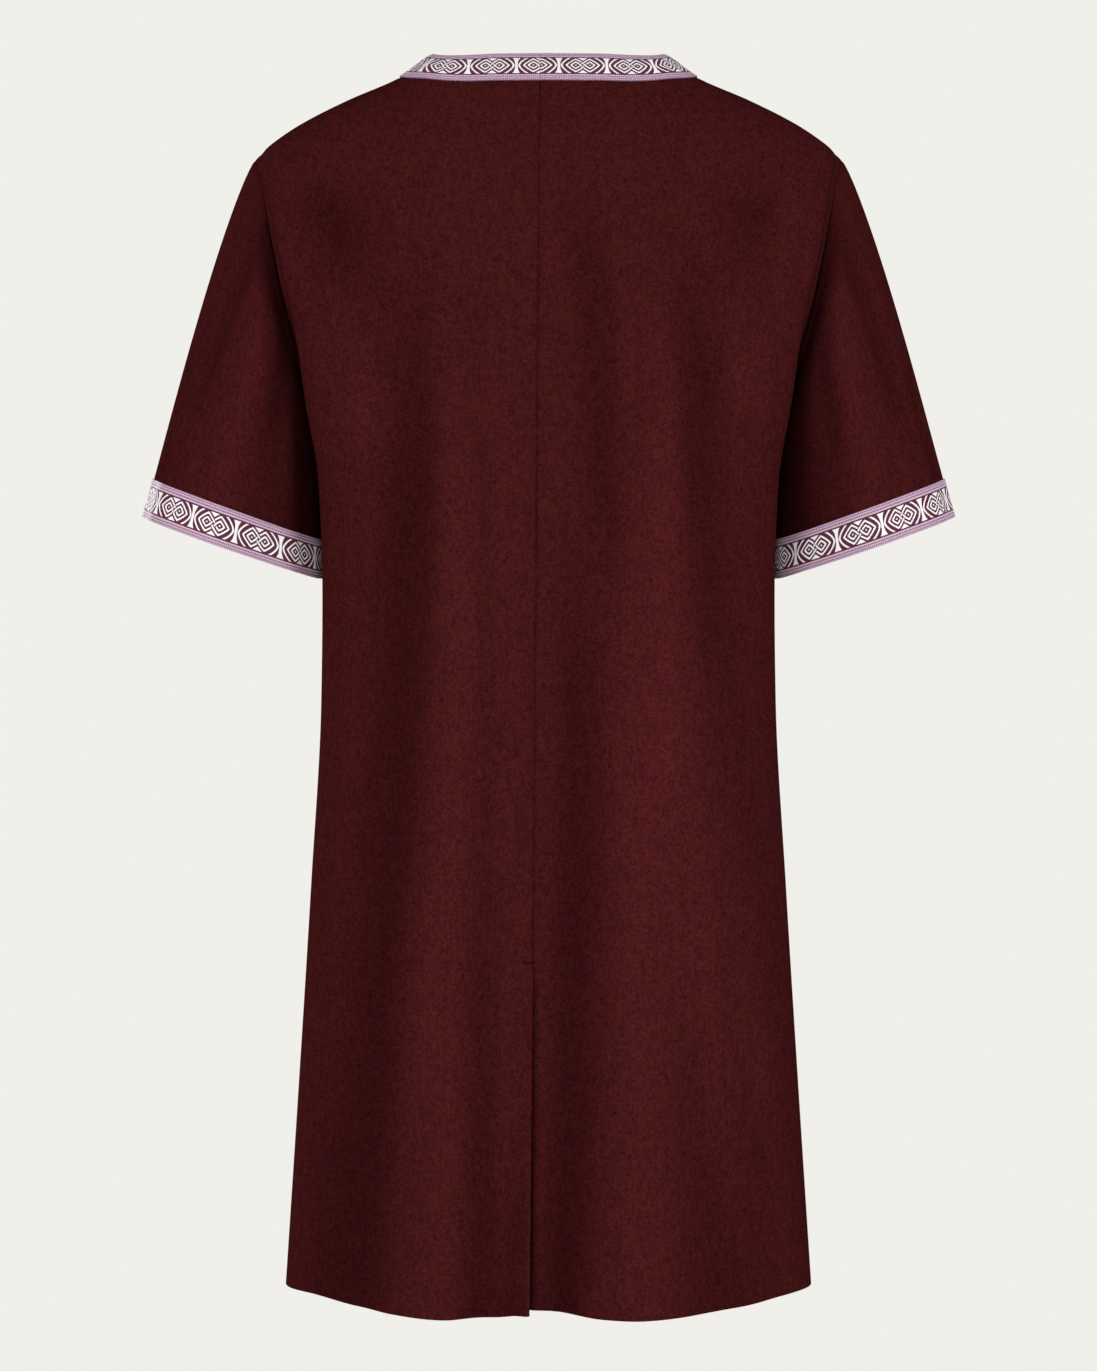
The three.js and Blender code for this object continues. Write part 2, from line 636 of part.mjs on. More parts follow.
// ---- the garment -------------------------------------------------------------------------------
const cloth = () => new THREE.MeshStandardMaterial({ color: BURGUNDY, roughness: 0.9, metalness: 0 });
const band = () => new THREE.MeshStandardMaterial({ color: BAND, roughness: 0.75, metalness: 0 });
const tunic = new THREE.Group();
tunic.name = 'medieval_tunic';

function addPiece(name, geometry, material) {
  const mesh = new THREE.Mesh(geometry, material);
  mesh.name = name;
  tunic.add(mesh);
}
const bandLow = TRIM_LIFT;
const bandHigh = TRIM_LIFT + TRIM;
addPiece('back_left', wall(backLeft, -CLOTH, 0), cloth());
addPiece('back_right', wall(backRight, -CLOTH, 0), cloth());
addPiece('front', wall(front, -CLOTH, 0), cloth());
addPiece('sleeve_left', wall(sleeveLeft, -CLOTH, 0, { wrap: true }), cloth());
addPiece('sleeve_right', wall(sleeveRight, -CLOTH, 0, { wrap: true }), cloth());
addPiece('neck_trim', wall(neckBand, bandLow, bandHigh, { wrap: true, onSeams: false }), band());
addPiece('cuff_trim_left', wall(cuffBand(sleeveLeft), bandLow, bandHigh, { wrap: true }), band());
addPiece('cuff_trim_right', wall(cuffBand(sleeveRight), bandLow, bandHigh, { wrap: true }), band());

export default tunic;
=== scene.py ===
import math

import bpy
import numpy as np
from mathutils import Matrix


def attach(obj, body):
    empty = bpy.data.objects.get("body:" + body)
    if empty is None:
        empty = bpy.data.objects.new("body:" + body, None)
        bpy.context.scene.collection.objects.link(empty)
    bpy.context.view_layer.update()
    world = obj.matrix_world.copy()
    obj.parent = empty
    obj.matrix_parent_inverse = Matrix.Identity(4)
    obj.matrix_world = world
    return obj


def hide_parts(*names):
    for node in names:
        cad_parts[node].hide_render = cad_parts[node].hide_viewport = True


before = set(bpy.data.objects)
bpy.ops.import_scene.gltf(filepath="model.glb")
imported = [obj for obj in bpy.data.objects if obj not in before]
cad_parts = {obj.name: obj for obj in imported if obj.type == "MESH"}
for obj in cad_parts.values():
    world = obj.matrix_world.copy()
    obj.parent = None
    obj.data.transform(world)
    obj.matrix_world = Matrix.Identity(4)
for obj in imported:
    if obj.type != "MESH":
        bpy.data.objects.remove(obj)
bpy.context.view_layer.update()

# ---- Camera, floor and light ---------------------------------------------------------------------
# A plain studio: a pale round floor below the hem that fades out before the horizon, large soft
# lights all round and an even pale backdrop. The camera looks square at the back of the garment.
CAMERA_PLACE = (0.0, 2.6, -0.5273)
LENS = 81.76
SENSOR = 36
BACKDROP = (0.871, 0.863, 0.823, 1)
AMBIENT = 0.07
FLOOR_Z = -1.75
FLOOR_RADIUS = 6.0
FLOOR_SIDES = 96
FLOOR_FADE = (1.9, 3.0)
FLOOR_COLOUR = (0.80, 0.79, 0.76, 1)
FLOOR_ROUGHNESS = 0.8
GARMENT_MIDDLE = (0, 0, -0.5)

scene = bpy.context.scene
scene.view_settings.view_transform = "Standard"
scene.view_settings.look = "None"

camera_data = bpy.data.cameras.new("camera")
camera_data.lens = LENS
camera_data.sensor_width = SENSOR
camera = bpy.data.objects.new("camera", camera_data)
camera.location = CAMERA_PLACE
camera.rotation_euler = (math.radians(90), 0, math.radians(180))
scene.collection.objects.link(camera)
scene.camera = camera

# name, place, width, height, watts
SOFT_LIGHTS = [
    ("back_key", (-1.5, 2.3, 0.2), 0.8, 0.8, 25),
    ("back_fill", (1.5, 2.3, 0.2), 0.8, 0.8, 12),
    ("back_centre", (0, 2.75, 0.15), 0.8, 0.6, 31),
    ("back_left_side", (2.3, 1.0, -0.3), 0.7, 1.2, 22),
    ("back_right_side", (-2.3, 1.0, -0.3), 0.7, 1.2, 16),
    ("front_key", (1.8, -2.0, 0.2), 0.8, 0.8, 42),
    ("front_fill", (-1.7, -2.1, 0.2), 0.8, 0.8, 12),
    ("front_centre", (0, -2.75, 0.15), 0.8, 0.6, 22),
    ("top", (0, 0.0, 2.0), 1.2, 1.2, 8),
]


def add_soft_light(name, place, width, height, watts):
    """A rectangle of light at a place, which faces the garment's middle."""
    data = bpy.data.lights.new(name, "AREA")
    data.shape = "RECTANGLE"
    data.size = width
    data.size_y = height
    data.energy = watts
    light = bpy.data.objects.new(name, data)
    light.location = place
    toward = np.subtract(GARMENT_MIDDLE, place)
    flat = math.hypot(toward[0], toward[1])
    light.rotation_euler = (
        math.atan2(flat, -toward[2]),
        0,
        math.atan2(-toward[0], toward[1]),
    )
    scene.collection.objects.link(light)


for row in SOFT_LIGHTS:
    add_soft_light(*row)

world = bpy.data.worlds.new("backdrop")
world.use_nodes = True
scene.world = world
sky = world.node_tree.nodes["Background"]
sky.inputs["Color"].default_value = BACKDROP
seen = world.node_tree.nodes.new("ShaderNodeLightPath")
strength = world.node_tree.nodes.new("ShaderNodeMapRange")
strength.inputs["To Min"].default_value = AMBIENT
strength.inputs["To Max"].default_value = 1.0
world.node_tree.links.new(seen.outputs["Is Camera Ray"], strength.inputs["Value"])
world.node_tree.links.new(strength.outputs["Result"], sky.inputs["Strength"])

floor_mesh = bpy.data.meshes.new("floor")
turns = np.linspace(0, 2 * np.pi, FLOOR_SIDES, endpoint=False)
rim_x, rim_y = FLOOR_RADIUS * np.cos(turns), FLOOR_RADIUS * np.sin(turns)
rim_points = np.stack([rim_x, rim_y, np.full(FLOOR_SIDES, FLOOR_Z)], 1)
floor_mesh.from_pydata(rim_points.tolist(), [], [list(range(FLOOR_SIDES))])
floor = bpy.data.objects.new("floor", floor_mesh)
scene.collection.objects.link(floor)

pale = bpy.data.materials.new("pale_floor")
pale.use_nodes = True
pale_nodes = pale.node_tree.nodes
pale_links = pale.node_tree.links
pale_surface = pale_nodes["Principled BSDF"]
pale_surface.inputs["Base Color"].default_value = FLOOR_COLOUR
pale_surface.inputs["Roughness"].default_value = FLOOR_ROUGHNESS
place_node = pale_nodes.new("ShaderNodeTexCoord")
reach_node = pale_nodes.new("ShaderNodeVectorMath")
reach_node.operation = "LENGTH"
fade_node = pale_nodes.new("ShaderNodeMapRange")
fade_node.interpolation_type = "SMOOTHSTEP"
fade_node.inputs["From Min"].default_value = FLOOR_FADE[0]
fade_node.inputs["From Max"].default_value = FLOOR_FADE[1]
clear_node = pale_nodes.new("ShaderNodeBsdfTransparent")
blend_node = pale_nodes.new("ShaderNodeMixShader")
pale_links.new(place_node.outputs["Object"], reach_node.inputs[0])
pale_links.new(reach_node.outputs["Value"], fade_node.inputs["Value"])
pale_links.new(fade_node.outputs["Result"], blend_node.inputs[0])
pale_links.new(pale_surface.outputs[0], blend_node.inputs[1])
pale_links.new(clear_node.outputs[0], blend_node.inputs[2])
pale_links.new(blend_node.outputs[0], pale_nodes["Material Output"].inputs["Surface"])
floor_mesh.materials.append(pale)


# ---- Back panels ---------------------------------------------------------------------------------
# Two back panels of burgundy melange cloth, joined by a plain seam down the centre back that stays
# open below a bar tack as a vent; the left one laps over the right one's turned-in underlap there.
# Lengths are in millimetres until a mesh is made, and painted shades in the millimetres of a
# fold's depth.
MM = 0.001
CLOTH = 1.5
SEAM_LAP = 0.03
BACK_CUT = (0.345, 1.12)
BACK_AREA = 0.32
TRIM_WIDTH = 33
UNDERARM_Z = -300
VENT_TOP_Z = -754
TACK_Z = VENT_TOP_Z + 6
HEM_Z = -1024.5
ARMHOLE_TOP_Z = -89.5
SHOULDER_POWER = 2.4
COLUMN_POWER = 2.2
HALF_SHOULDER = 239.5
HALF_NECK = 95.6
BACK_NECK = (50, 4.4)
CREASE_REACH = 0.88
HEM_STEP_REACH = 0.3
CURL_BACK = 0.35
CURL_OUT = 0.65
CURL_DOWN = 0.5
CURL_DOWN_ON_TOP = 0.28
PLAN_ROUNDS = 40
ARC_STEPS = 33
SHARP_ANGLE = math.radians(50)
RIGHT_ANGLE = np.pi / 2

# height, half width, depth in the middle, depth where it turns in to the side, squareness
BACK_SECTIONS = [
    (-1024.5, 218.7, 145, 6, 1.8),
    (-857, 207.5, 135, 10, 1.9),
    (-690, 196.7, 124, 16, 2.0),
    (-540, 188.0, 114, 22, 2.1),
    (-437, 186.5, 114, 31, 2.2),
    (-359, 189.0, 116, 42, 2.4),
    (-300, 198.0, 118, 55, 2.4),
    (-230, 207.5, 120, 74, 2.4),
    (-173, 219.9, 119, 85, 2.4),
    (-140, 225.5, 118, 87, 2.4),
    (-110, 231.0, 118, 87, 2.4),
    (-82, 239.5, 118, 87, 2.4),
]
SIDE_SEAM = [
    (-1024.5, 219.0),
    (-857, 207.8),
    (-690, 197.0),
    (-540, 188.2),
    (-437, 184.5),
    (-359, 181.0),
    (-300, 184.0),
]
SHOULDER_RIDGE = [
    (0, 6.4),
    (40, 5.9),
    (66, 3.4),
    (95.6, -3.6),
    (122.5, -21.5),
    (167, -41),
    (205, -60.3),
    (227.5, -75.2),
    (239.5, -85.2),
]
SEAM_DRIFT = [(-1024.5, 15), (-754, 12.5), (0, 6.7)]
# turn over the shoulder in degrees, x and y of the back armhole
BACK_ARMHOLE = [
    (0, 184, 0),
    (7.5, 199, 28),
    (15, 208, 46),
    (30, 220.5, 56),
    (45, 229, 51),
    (60, 235.5, 38),
    (75, 241, 20),
    (90, 245, 0),
]
# how far the hem hangs down across a half, and how much lower the left half's middle hangs
BACK_HEM = [(0, -1), (0.4, 6), (0.7, 3.5), (0.92, -1.2), (1, 0)], 1.6

# Creases: where each begins and ends by height, its place there and half way as a share of the half
# width (+ is the wearer's left), its width towards the left and towards the right as such shares,
# how much it rises at its head and at its foot, and the height over which it comes and goes.
BACK_CREASES = [
    (-181, -1300, 0.39, 0.41, 0.46, 0.15, 0.42, 5.5, 3.0, 325),
    (-100, -1300, 0.46, 0.75, 0.69, 0.25, 0.14, -8.7, -9.0, 277),
    (-415, -1300, 0.27, 0.27, 0.23, 0.13, 0.10, -1.7, -12.5, 160),
    (-734, -1300, 0.07, 0.14, 0.14, 0.13, 0.05, -0.2, -14.0, 278),
    (-100, -470, -0.12, -0.22, -0.27, 0.14, 0.10, -6.0, -6.1, 101),
    (-355, -1300, -0.14, -0.12, 0.02, 0.13, 0.15, -5.0, -14.0, 203),
    (-315, -1300, -0.35, -0.40, -0.29, 0.16, 0.25, 6.1, 4.5, 350),
    (-148, -1150, -0.43, -0.59, -0.77, 0.23, 0.15, 4.1, 5.8, 242),
    (-141, -1250, -0.49, -0.92, -0.98, 0.12, 0.20, -8.5, 5.7, 145),
    (-100, -360, 0.81, 0.70, 0.71, 0.27, 0.23, -11.3, 7.9, 59),
    (-100, -330, -0.70, -0.77, -0.87, 0.25, 0.14, -8.5, 5.9, 50),
    (-811, -1300, 0.85, 0.86, 0.88, 0.14, 0.18, -2.9, -5.2, 141),
    (-749, -1300, -0.58, -0.70, -0.71, 0.21, 0.23, -2.5, -12.0, 185),
    (-640, -900, 0.47, 0.49, 0.55, 0.09, 0.10, 1.5, 2.8, 50),
    (-700, -1000, -0.37, -0.34, -0.33, 0.08, 0.05, -0.5, -0.6, 129),
    (-252, -600, 0.31, 0.28, 0.26, 0.08, 0.10, -3.0, -2.8, 126),
    (-477, -900, -0.67, -0.80, -0.85, 0.13, 0.13, 1.6, 3.7, 60),
    (-104, -215, 0.83, 0.79, 0.72, 0.05, 0.06, -2.6, -2.2, 40),
    (-106, -180, 0.62, 0.60, 0.57, 0.05, 0.05, -1.6, -1.4, 30),
    (-108, -190, -0.80, -0.78, -0.73, 0.06, 0.05, -2.2, -1.8, 35),
]
# The same for the small dents that a hand leaves: height, share, height span, width, rise.
BACK_DENTS = [
    (-238, 0.30, 60, 0.10, -1.6),
    (-335, -0.36, 80, 0.09, -1.4),
    (-480, 0.34, 70, 0.08, 1.2),
    (-560, -0.52, 90, 0.10, 1.5),
    (-655, 0.10, 60, 0.06, -1.2),
    (-760, 0.60, 90, 0.09, 1.4),
    (-830, -0.55, 80, 0.08, -1.5),
    (-905, 0.33, 70, 0.07, 1.4),
    (-150, -0.40, 50, 0.12, -1.5),
    (-120, 0.45, 45, 0.12, -1.3),
]

SEAM_COLUMNS = (0, 0.12, 0.25, 0.45, 0.7)
NECK_STEPS = 24
BODY_STEPS = 60
COLUMN_STEPS = np.concatenate([SEAM_COLUMNS, np.arange(1, BODY_STEPS + 1)])
NECK_COLUMNS = NECK_STEPS + len(SEAM_COLUMNS) - 1
BODY_COLUMNS = BODY_STEPS + len(SEAM_COLUMNS) - 1
NECK_CROWDING = 1.6
CURL_COLUMNS = 10
TRIM_ROWS = 12
YOKE_ROWS = 60
WAIST_ROWS = 76
SKIRT_ROWS = 46
UNDERLAP_COLUMNS = 4
UNDERLAP = 28
VENT_SINK_TOP = 2.4
VENT_SINK_HEM = 9
SINK_REACH = 45
# painted shadow on the right panel under the left panel's lap beside the vent, and its reach
LAP_SHADE = -36
LAP_REACH = 2.2
SEAM_DIP = 0.9
SEAM_DIP_WIDTH = 1.3
TURNING_RISE = 0.35
TURNING_PLACE = 6
TURNING_WIDTH = 3.5
NO_SEAM = 30
FAR = 99
RIDGE_ROW = TRIM_ROWS
UNDERARM_ROW = RIDGE_ROW + YOKE_ROWS
VENT_ROW = UNDERARM_ROW + WAIST_ROWS
HEM_ROW = VENT_ROW + SKIRT_ROWS
SEAM_COLUMN = BODY_COLUMNS + CURL_COLUMNS


def smooth(value):
    """The S-shaped step 3t^2 - 2t^3, level below 0 and above 1."""
    t = np.clip(value, 0, 1)
    return t * t * (3 - 2 * t)


def mix(a, b, share):
    """A straight blend from a to b."""
    return a + (b - a) * share


def curve(rows, column=1):
    """A smooth curve through a table's first column and another one.

    Between two rows it is a cubic. Its slope at a row is the harmonic mean of the slopes of the
    chords on both sides, or 0 where they differ in sign, and it is level beyond both ends.
    """
    values = np.array(rows, float)
    x = values[:, 0]
    y = values[:, column]
    chord = np.diff(y) / np.diff(x)
    slope = np.concatenate([chord[:1], np.zeros(len(x) - 2), chord[-1:]])
    agree = chord[:-1] * chord[1:] > 0
    total = np.where(agree, chord[:-1] + chord[1:], 1)
    slope[1:-1] = np.where(agree, 2 * chord[:-1] * chord[1:] / total, 0)

    def at(value):
        value = np.clip(value, x[0], x[-1])
        i = np.clip(np.searchsorted(x, value, side="right") - 1, 0, len(x) - 2)
        width = x[i + 1] - x[i]
        t = (value - x[i]) / width
        u = 1 - t
        ends = y[i] * u * u * (1 + 2 * t) + y[i + 1] * t * t * (3 - 2 * t)
        return ends + width * t * u * (slope[i] * u - slope[i + 1] * t)

    return at


ridge_height = curve(SHOULDER_RIDGE)
side_seam_x = curve(SIDE_SEAM)


class Face:
    """One side of the body, its tables made curves. way is +1 for the back, -1 for the front."""

    def __init__(self, way, sections, creases, dents, armhole, hem, drift, neck):
        self.way = way
        self.wide, self.depth, self.corner, self.power = (curve(sections, i) for i in range(1, 5))
        self.creases = creases
        self.dents = dents
        self.armhole_x = curve(armhole, 1)
        self.armhole_y = curve(armhole, 2)
        self.hem_dip = curve(hem[0])
        self.hem_step = hem[1]
        self.drift = drift
        self.neck_depth, self.neck_power = neck


def crease_rise(face, share, z):
    """The sum of all creases and dents at a share of the half width and a height.

    A crease is half a cosine wave to each side of a line whose place is a quadratic in the height.
    Its rise goes straight from head to foot, with an S-shaped step at both ends. A dent is a cosine
    hill over an ellipse. All fade out over the last part before the side.
    """
    total = np.zeros(np.broadcast(share, z).shape)
    for top, foot, start, via, end, left, right, head_rise, foot_rise, ramp in face.creases:
        t = np.clip((top - z) / (top - foot), 0, 1)
        line = start * (1 - t) ** 2 + 2 * via * t * (1 - t) + end * t * t
        offset = share - line
        across = np.clip(np.where(offset > 0, offset / left, -offset / right), 0, 1)
        growth = smooth((top - z) / ramp) * smooth((z - foot) / ramp) * mix(head_rise, foot_rise, t)
        total = total + growth * (1 + np.cos(np.pi * across)) / 2
    for height, place, span, width, rise in face.dents:
        away = np.clip(np.hypot((z - height) / span, (share - place) / width), 0, 1)
        total = total + rise * (1 + np.cos(np.pi * away)) / 2
    return total * (1 - smooth((np.abs(share) - CREASE_REACH) / (1 - CREASE_REACH)))


def wrap_of(rise):
    """How far a section still reaches out where its level has climbed: (1 - rise^q)^(1/q)."""
    return np.clip(1 - rise**SHOULDER_POWER, 0, 1) ** (1 / SHOULDER_POWER)


def across_at(half, share, wide, drift):
    """x = half*share*wide + drift*(1 - share)^2: the centre line drifts and the side stays."""
    return half * share * wide + drift * (1 - share) ** 2


def height_of(face, half, share, base, rise):
    """A level climbs from its base to the shoulder ridge above its x by its rise."""
    x = across_at(half, share, HALF_SHOULDER, face.drift(0.0))
    return mix(base, ridge_height(np.abs(x)), rise)


def reach(face, x, z, wrap):
    """y = way * (wrap * (corner + (depth - corner) * (1 - |x/wide|^n)^(1/n)) + creases)."""
    share = np.clip(np.abs(x) / face.wide(z), 0, 1)
    power = face.power(z)
    arch = np.clip(1 - share**power, 0, 1) ** (1 / power)
    body = wrap * mix(face.corner(z), face.depth(z), arch)
    return face.way * (body + crease_rise(face, x / face.wide(z), z))


def body_point(face, half, share, base, rise):
    """The point of the body at a share of the half width on a level."""
    z = height_of(face, half, share, base, rise)
    x = across_at(half, share, face.wide(z), face.drift(z))
    return np.stack(np.broadcast_arrays(x, reach(face, x, z, wrap_of(rise)), z), -1)


def at_plan(face, half, x, y):
    """The share and turn of the body over (x, y) in plan, by repeated substitution."""
    share = np.clip(half * x / HALF_SHOULDER, 0, 1)
    turn = np.full(np.shape(x), RIGHT_ANGLE)
    for _ in range(PLAN_ROUNDS):
        z = height_of(face, half, share, UNDERARM_Z, np.sin(turn))
        wrap = np.clip(np.abs(y / reach(face, x, z, 1.0)), 0, 1)
        turn = np.arcsin(wrap_of(wrap))
        share = np.clip(half * (x - face.drift(z) * (1 - share) ** 2) / face.wide(z), 0, 1)
    return share, turn


def neck_plan(face, half, step):
    """The neckline is a superellipse in plan: x = a*sin(t)^(2/e), y = b*cos(t)^(2/e)."""
    start = half * math.asin(face.drift(0.0) / HALF_NECK) ** (face.neck_power / 2)
    t = mix(start, RIGHT_ANGLE, (step / NECK_STEPS) ** NECK_CROWDING)
    power = 2 / face.neck_power
    x = half * HALF_NECK * np.sign(np.sin(t)) * np.abs(np.sin(t)) ** power
    y = face.way * face.neck_depth * np.clip(np.cos(t), 0, 1) ** power
    return x, y


def surface_normal(face, half, share, turn):
    """The unit normal of the body, upwards, from the cross product of two small steps."""
    small = 0.004

    def at(s, t):
        return body_point(face, half, s, UNDERARM_Z, np.sin(t))

    across = at(share + small, turn) - at(np.maximum(share - small, 0), turn)
    down = at(share, turn - small) - at(share, np.minimum(turn + small, RIGHT_ANGLE))
    normal = np.cross(across, down)
    normal /= np.linalg.norm(normal, axis=-1, keepdims=True)
    return normal * np.where(normal[:, 2:] < 0, -1, 1)


def march_out(face, half):
    """Shares and turns under the neck band, a row for each step from the neckline, square to it."""
    step = COLUMN_STEPS[: NECK_COLUMNS + 1]
    small = 0.02
    x, y = neck_plan(face, half, step)
    y[-1] = 0
    x_before, y_before = neck_plan(face, half, np.maximum(step - small, 0))
    x_after, y_after = neck_plan(face, half, np.minimum(step + small, NECK_STEPS))
    along = np.stack([x_after - x_before, y_after - y_before, x * 0], -1)
    along[-1] = (0, 1, 0)
    share, turn = at_plan(face, half, x, y)
    share[0] = 0
    shares = [share]
    turns_over = [turn]
    for _ in range(TRIM_ROWS):
        point = body_point(face, half, share, UNDERARM_Z, np.sin(turn))
        normal = surface_normal(face, half, share, turn)
        normal[-1, 1] = 0
        normal[0, 0] = 0
        out = np.cross(normal, along)
        inwards = out[:, 0] * point[:, 0] + out[:, 1] * point[:, 1] < 0
        out[inwards] *= -1
        out[0, 0] = 0
        out /= np.linalg.norm(out, axis=-1, keepdims=True)
        point = point + out * (TRIM_WIDTH / TRIM_ROWS)
        point[-1, 1] = 0
        share, turn = at_plan(face, half, point[:, 0], point[:, 1])
        share[0] = 0
        shares.append(share)
        turns_over.append(turn)
    return np.array(shares), np.array(turns_over)


def share_by_angle(start, step):
    """Shares from start to 1 as step goes from 0 to 1, spaced evenly by angle round a section."""
    angle = np.arcsin(start ** (COLUMN_POWER / 2))
    return np.sin(mix(angle, RIGHT_ANGLE, step)) ** (2 / COLUMN_POWER)


def half_panel(face, half):
    """A half panel's grid of points: rows run down, columns go from the centre line to the seam.

    The rows under the neck band follow it and end at the shoulder seam; their further columns are
    left out. The yoke's rows blend from there to the underarm's level, and lower rows are level
    down to the hem's dip. Past share 1 each row curls in to its seam on a quadratic curve, whose
    middle point moves out and up towards the top of the armhole, where the cloth rolls over.
    """
    shares, turns_over = march_out(face, half)
    even = share_by_angle(0, COLUMN_STEPS / BODY_STEPS)
    beyond = np.clip((COLUMN_STEPS - NECK_STEPS) / (BODY_STEPS - NECK_STEPS), 0, 1)
    top_share = share_by_angle(shares[-1, -1], beyond)
    top_turn = np.full(BODY_COLUMNS + 1, RIGHT_ANGLE)
    top_share[: NECK_COLUMNS + 1] = shares[-1]
    top_turn[: NECK_COLUMNS + 1] = turns_over[-1]

    share = np.empty((HEM_ROW + 1, BODY_COLUMNS + 1))
    base = np.full_like(share, UNDERARM_Z)
    turn = np.zeros_like(share)
    seam_turn = np.zeros(HEM_ROW + 1)
    further = ((0, 0), (0, BODY_COLUMNS - NECK_COLUMNS))
    share[:RIDGE_ROW] = np.pad(shares[:-1], further, mode="edge")
    turn[:RIDGE_ROW] = np.pad(turns_over[:-1], further, mode="edge")
    down = (np.arange(YOKE_ROWS + 1) / YOKE_ROWS)[:, None]
    yoke = slice(RIDGE_ROW, UNDERARM_ROW + 1)
    share[yoke] = mix(top_share, even, down)
    turn[yoke] = top_turn * (1 - down)
    seam_turn[: RIDGE_ROW + 1] = RIGHT_ANGLE
    seam_turn[yoke] = RIGHT_ANGLE * (1 - down[:, 0])
    share[UNDERARM_ROW:] = even
    waist = (np.arange(WAIST_ROWS + 1) / WAIST_ROWS)[:, None]
    base[UNDERARM_ROW : VENT_ROW + 1] = mix(UNDERARM_Z, VENT_TOP_Z, waist)
    skirt = (np.arange(SKIRT_ROWS + 1) / SKIRT_ROWS)[:, None]
    dip = face.hem_dip(even) + half * face.hem_step * (1 - smooth(even / HEM_STEP_REACH))
    base[VENT_ROW:] = mix(VENT_TOP_Z, HEM_Z - dip, skirt)

    body = body_point(face, half, share, base, np.sin(turn))
    start = body[:, -1]
    degrees = np.degrees(seam_turn)
    side_z = base[:, -1]
    armhole_z = mix(UNDERARM_Z, ARMHOLE_TOP_Z, np.sin(seam_turn))
    end = np.empty_like(start)
    end[:, 0] = half * np.where(seam_turn > 0, face.armhole_x(degrees), side_seam_x(side_z))
    end[:, 1] = face.armhole_y(degrees)
    end[:, 2] = np.where(seam_turn > 0, armhole_z, side_z)
    on_top = (seam_turn / RIGHT_ANGLE) ** 2
    pull = np.stack(
        [
            mix(start[:, 0], end[:, 0], CURL_OUT * on_top),
            mix(end[:, 1], start[:, 1], CURL_BACK),
            mix(start[:, 2], end[:, 2], mix(CURL_DOWN, CURL_DOWN_ON_TOP, on_top)),
        ],
        -1,
    )
    t = (np.arange(1, CURL_COLUMNS + 1) / CURL_COLUMNS)[None, :, None]
    first, middle, last = start[:, None], pull[:, None], end[:, None]
    curl = first * (1 - t) ** 2 + middle * 2 * t * (1 - t) + last * t * t
    points = np.concatenate([body, curl], 1)
    present = np.ones(points.shape[:2], bool)
    present[:RIDGE_ROW, NECK_COLUMNS + 1 :] = False
    # The creases' rise again, kept as the fold attribute that paints shade in hollows and light on
    # ridges.
    fold = crease_rise(face, points[..., 0] / face.wide(points[..., 2]), points[..., 2])
    points[~present] = np.nan
    return points, present, fold


def thread_lengths(face, points):
    """Lengths along the threads, as the cloth's own map: across from the middle plane, and down.

    The first is the arc of the level section out to the left (+) or the right (-), plus the curl.
    The second adds up the steps of y and z down each column, from the underarm's own height.
    """
    wide = face.wide(points[..., 2])
    share = np.clip(np.abs(points[..., 0]) / wide, 0, 1)
    share[:, BODY_COLUMNS + 1 :] = share[:, BODY_COLUMNS : BODY_COLUMNS + 1]
    steps = np.sin(np.linspace(0, RIGHT_ANGLE, ARC_STEPS))
    fine = share[..., None] * steps
    power = face.power(points[..., 2])[..., None]
    arch = (1 - np.clip(fine, 0, 1) ** power) ** (1 / power)
    y = (face.depth(points[..., 2]) - face.corner(points[..., 2]))[..., None] * arch
    arc = np.hypot(np.diff(fine * wide[..., None]), np.diff(y)).sum(-1)
    curl = np.linalg.norm(np.diff(points[:, BODY_COLUMNS:], axis=1), axis=-1)
    arc[:, BODY_COLUMNS + 1 :] += np.cumsum(curl, 1)
    arc *= np.sign(points[..., 0])
    step = np.hypot(np.diff(points[..., 1], axis=0), np.diff(points[..., 2], axis=0))
    down = np.zeros(points.shape[:2])
    down[UNDERARM_ROW + 1 :] = np.cumsum(step[UNDERARM_ROW:], 0)
    down[:UNDERARM_ROW] = -np.cumsum(step[UNDERARM_ROW - 1 :: -1], 0)[::-1]
    return np.stack([arc, UNDERARM_Z - down], -1)


def grid_normals(points, hint, wrap=False):
    """Unit normals from the neighbours in the grid, on the side that the hint looks to."""
    if wrap:
        around = np.concatenate([points[:, -1:], points, points[:, :1]], 1)
        right, left = around[:, 2:], around[:, :-2]
    else:
        right = np.concatenate([points[:, 1:], points[:, -1:]], 1)
        left = np.concatenate([points[:, :1], points[:, :-1]], 1)
        right = np.where(np.isnan(right), points, right)
        left = np.where(np.isnan(left), points, left)
    below = np.concatenate([points[1:], points[-1:]], 0)
    above = np.concatenate([points[:1], points[:-1]], 0)
    below = np.where(np.isnan(below), points, below)
    above = np.where(np.isnan(above), points, above)
    normals = np.cross(right - left, below - above)
    normals /= np.linalg.norm(normals, axis=-1, keepdims=True) + 1e-12
    return normals * np.sign(np.nansum(normals * hint))


def settle_seams(face, normals, centre_half=0, centre=0):
    """Turns normals into the plane of each seam, and gives the step that laps the sewn edges."""
    shift = np.zeros_like(normals)
    last = normals.shape[1] - 1
    ends = [(slice(UNDERARM_ROW, None), last), (slice(0, RIDGE_ROW), centre + NECK_COLUMNS)]
    ends.append((RIDGE_ROW, slice(centre + NECK_COLUMNS, None)))
    for rows, columns in ends:
        normals[rows, columns, 1] = 0
        shift[rows, columns, 1] = -face.way * SEAM_LAP
    if centre_half:
        normals[:, centre, 0] = 0
        shift[:, centre, 0] = -centre_half * SEAM_LAP
    normals /= np.linalg.norm(normals, axis=-1, keepdims=True) + 1e-12
    return shift


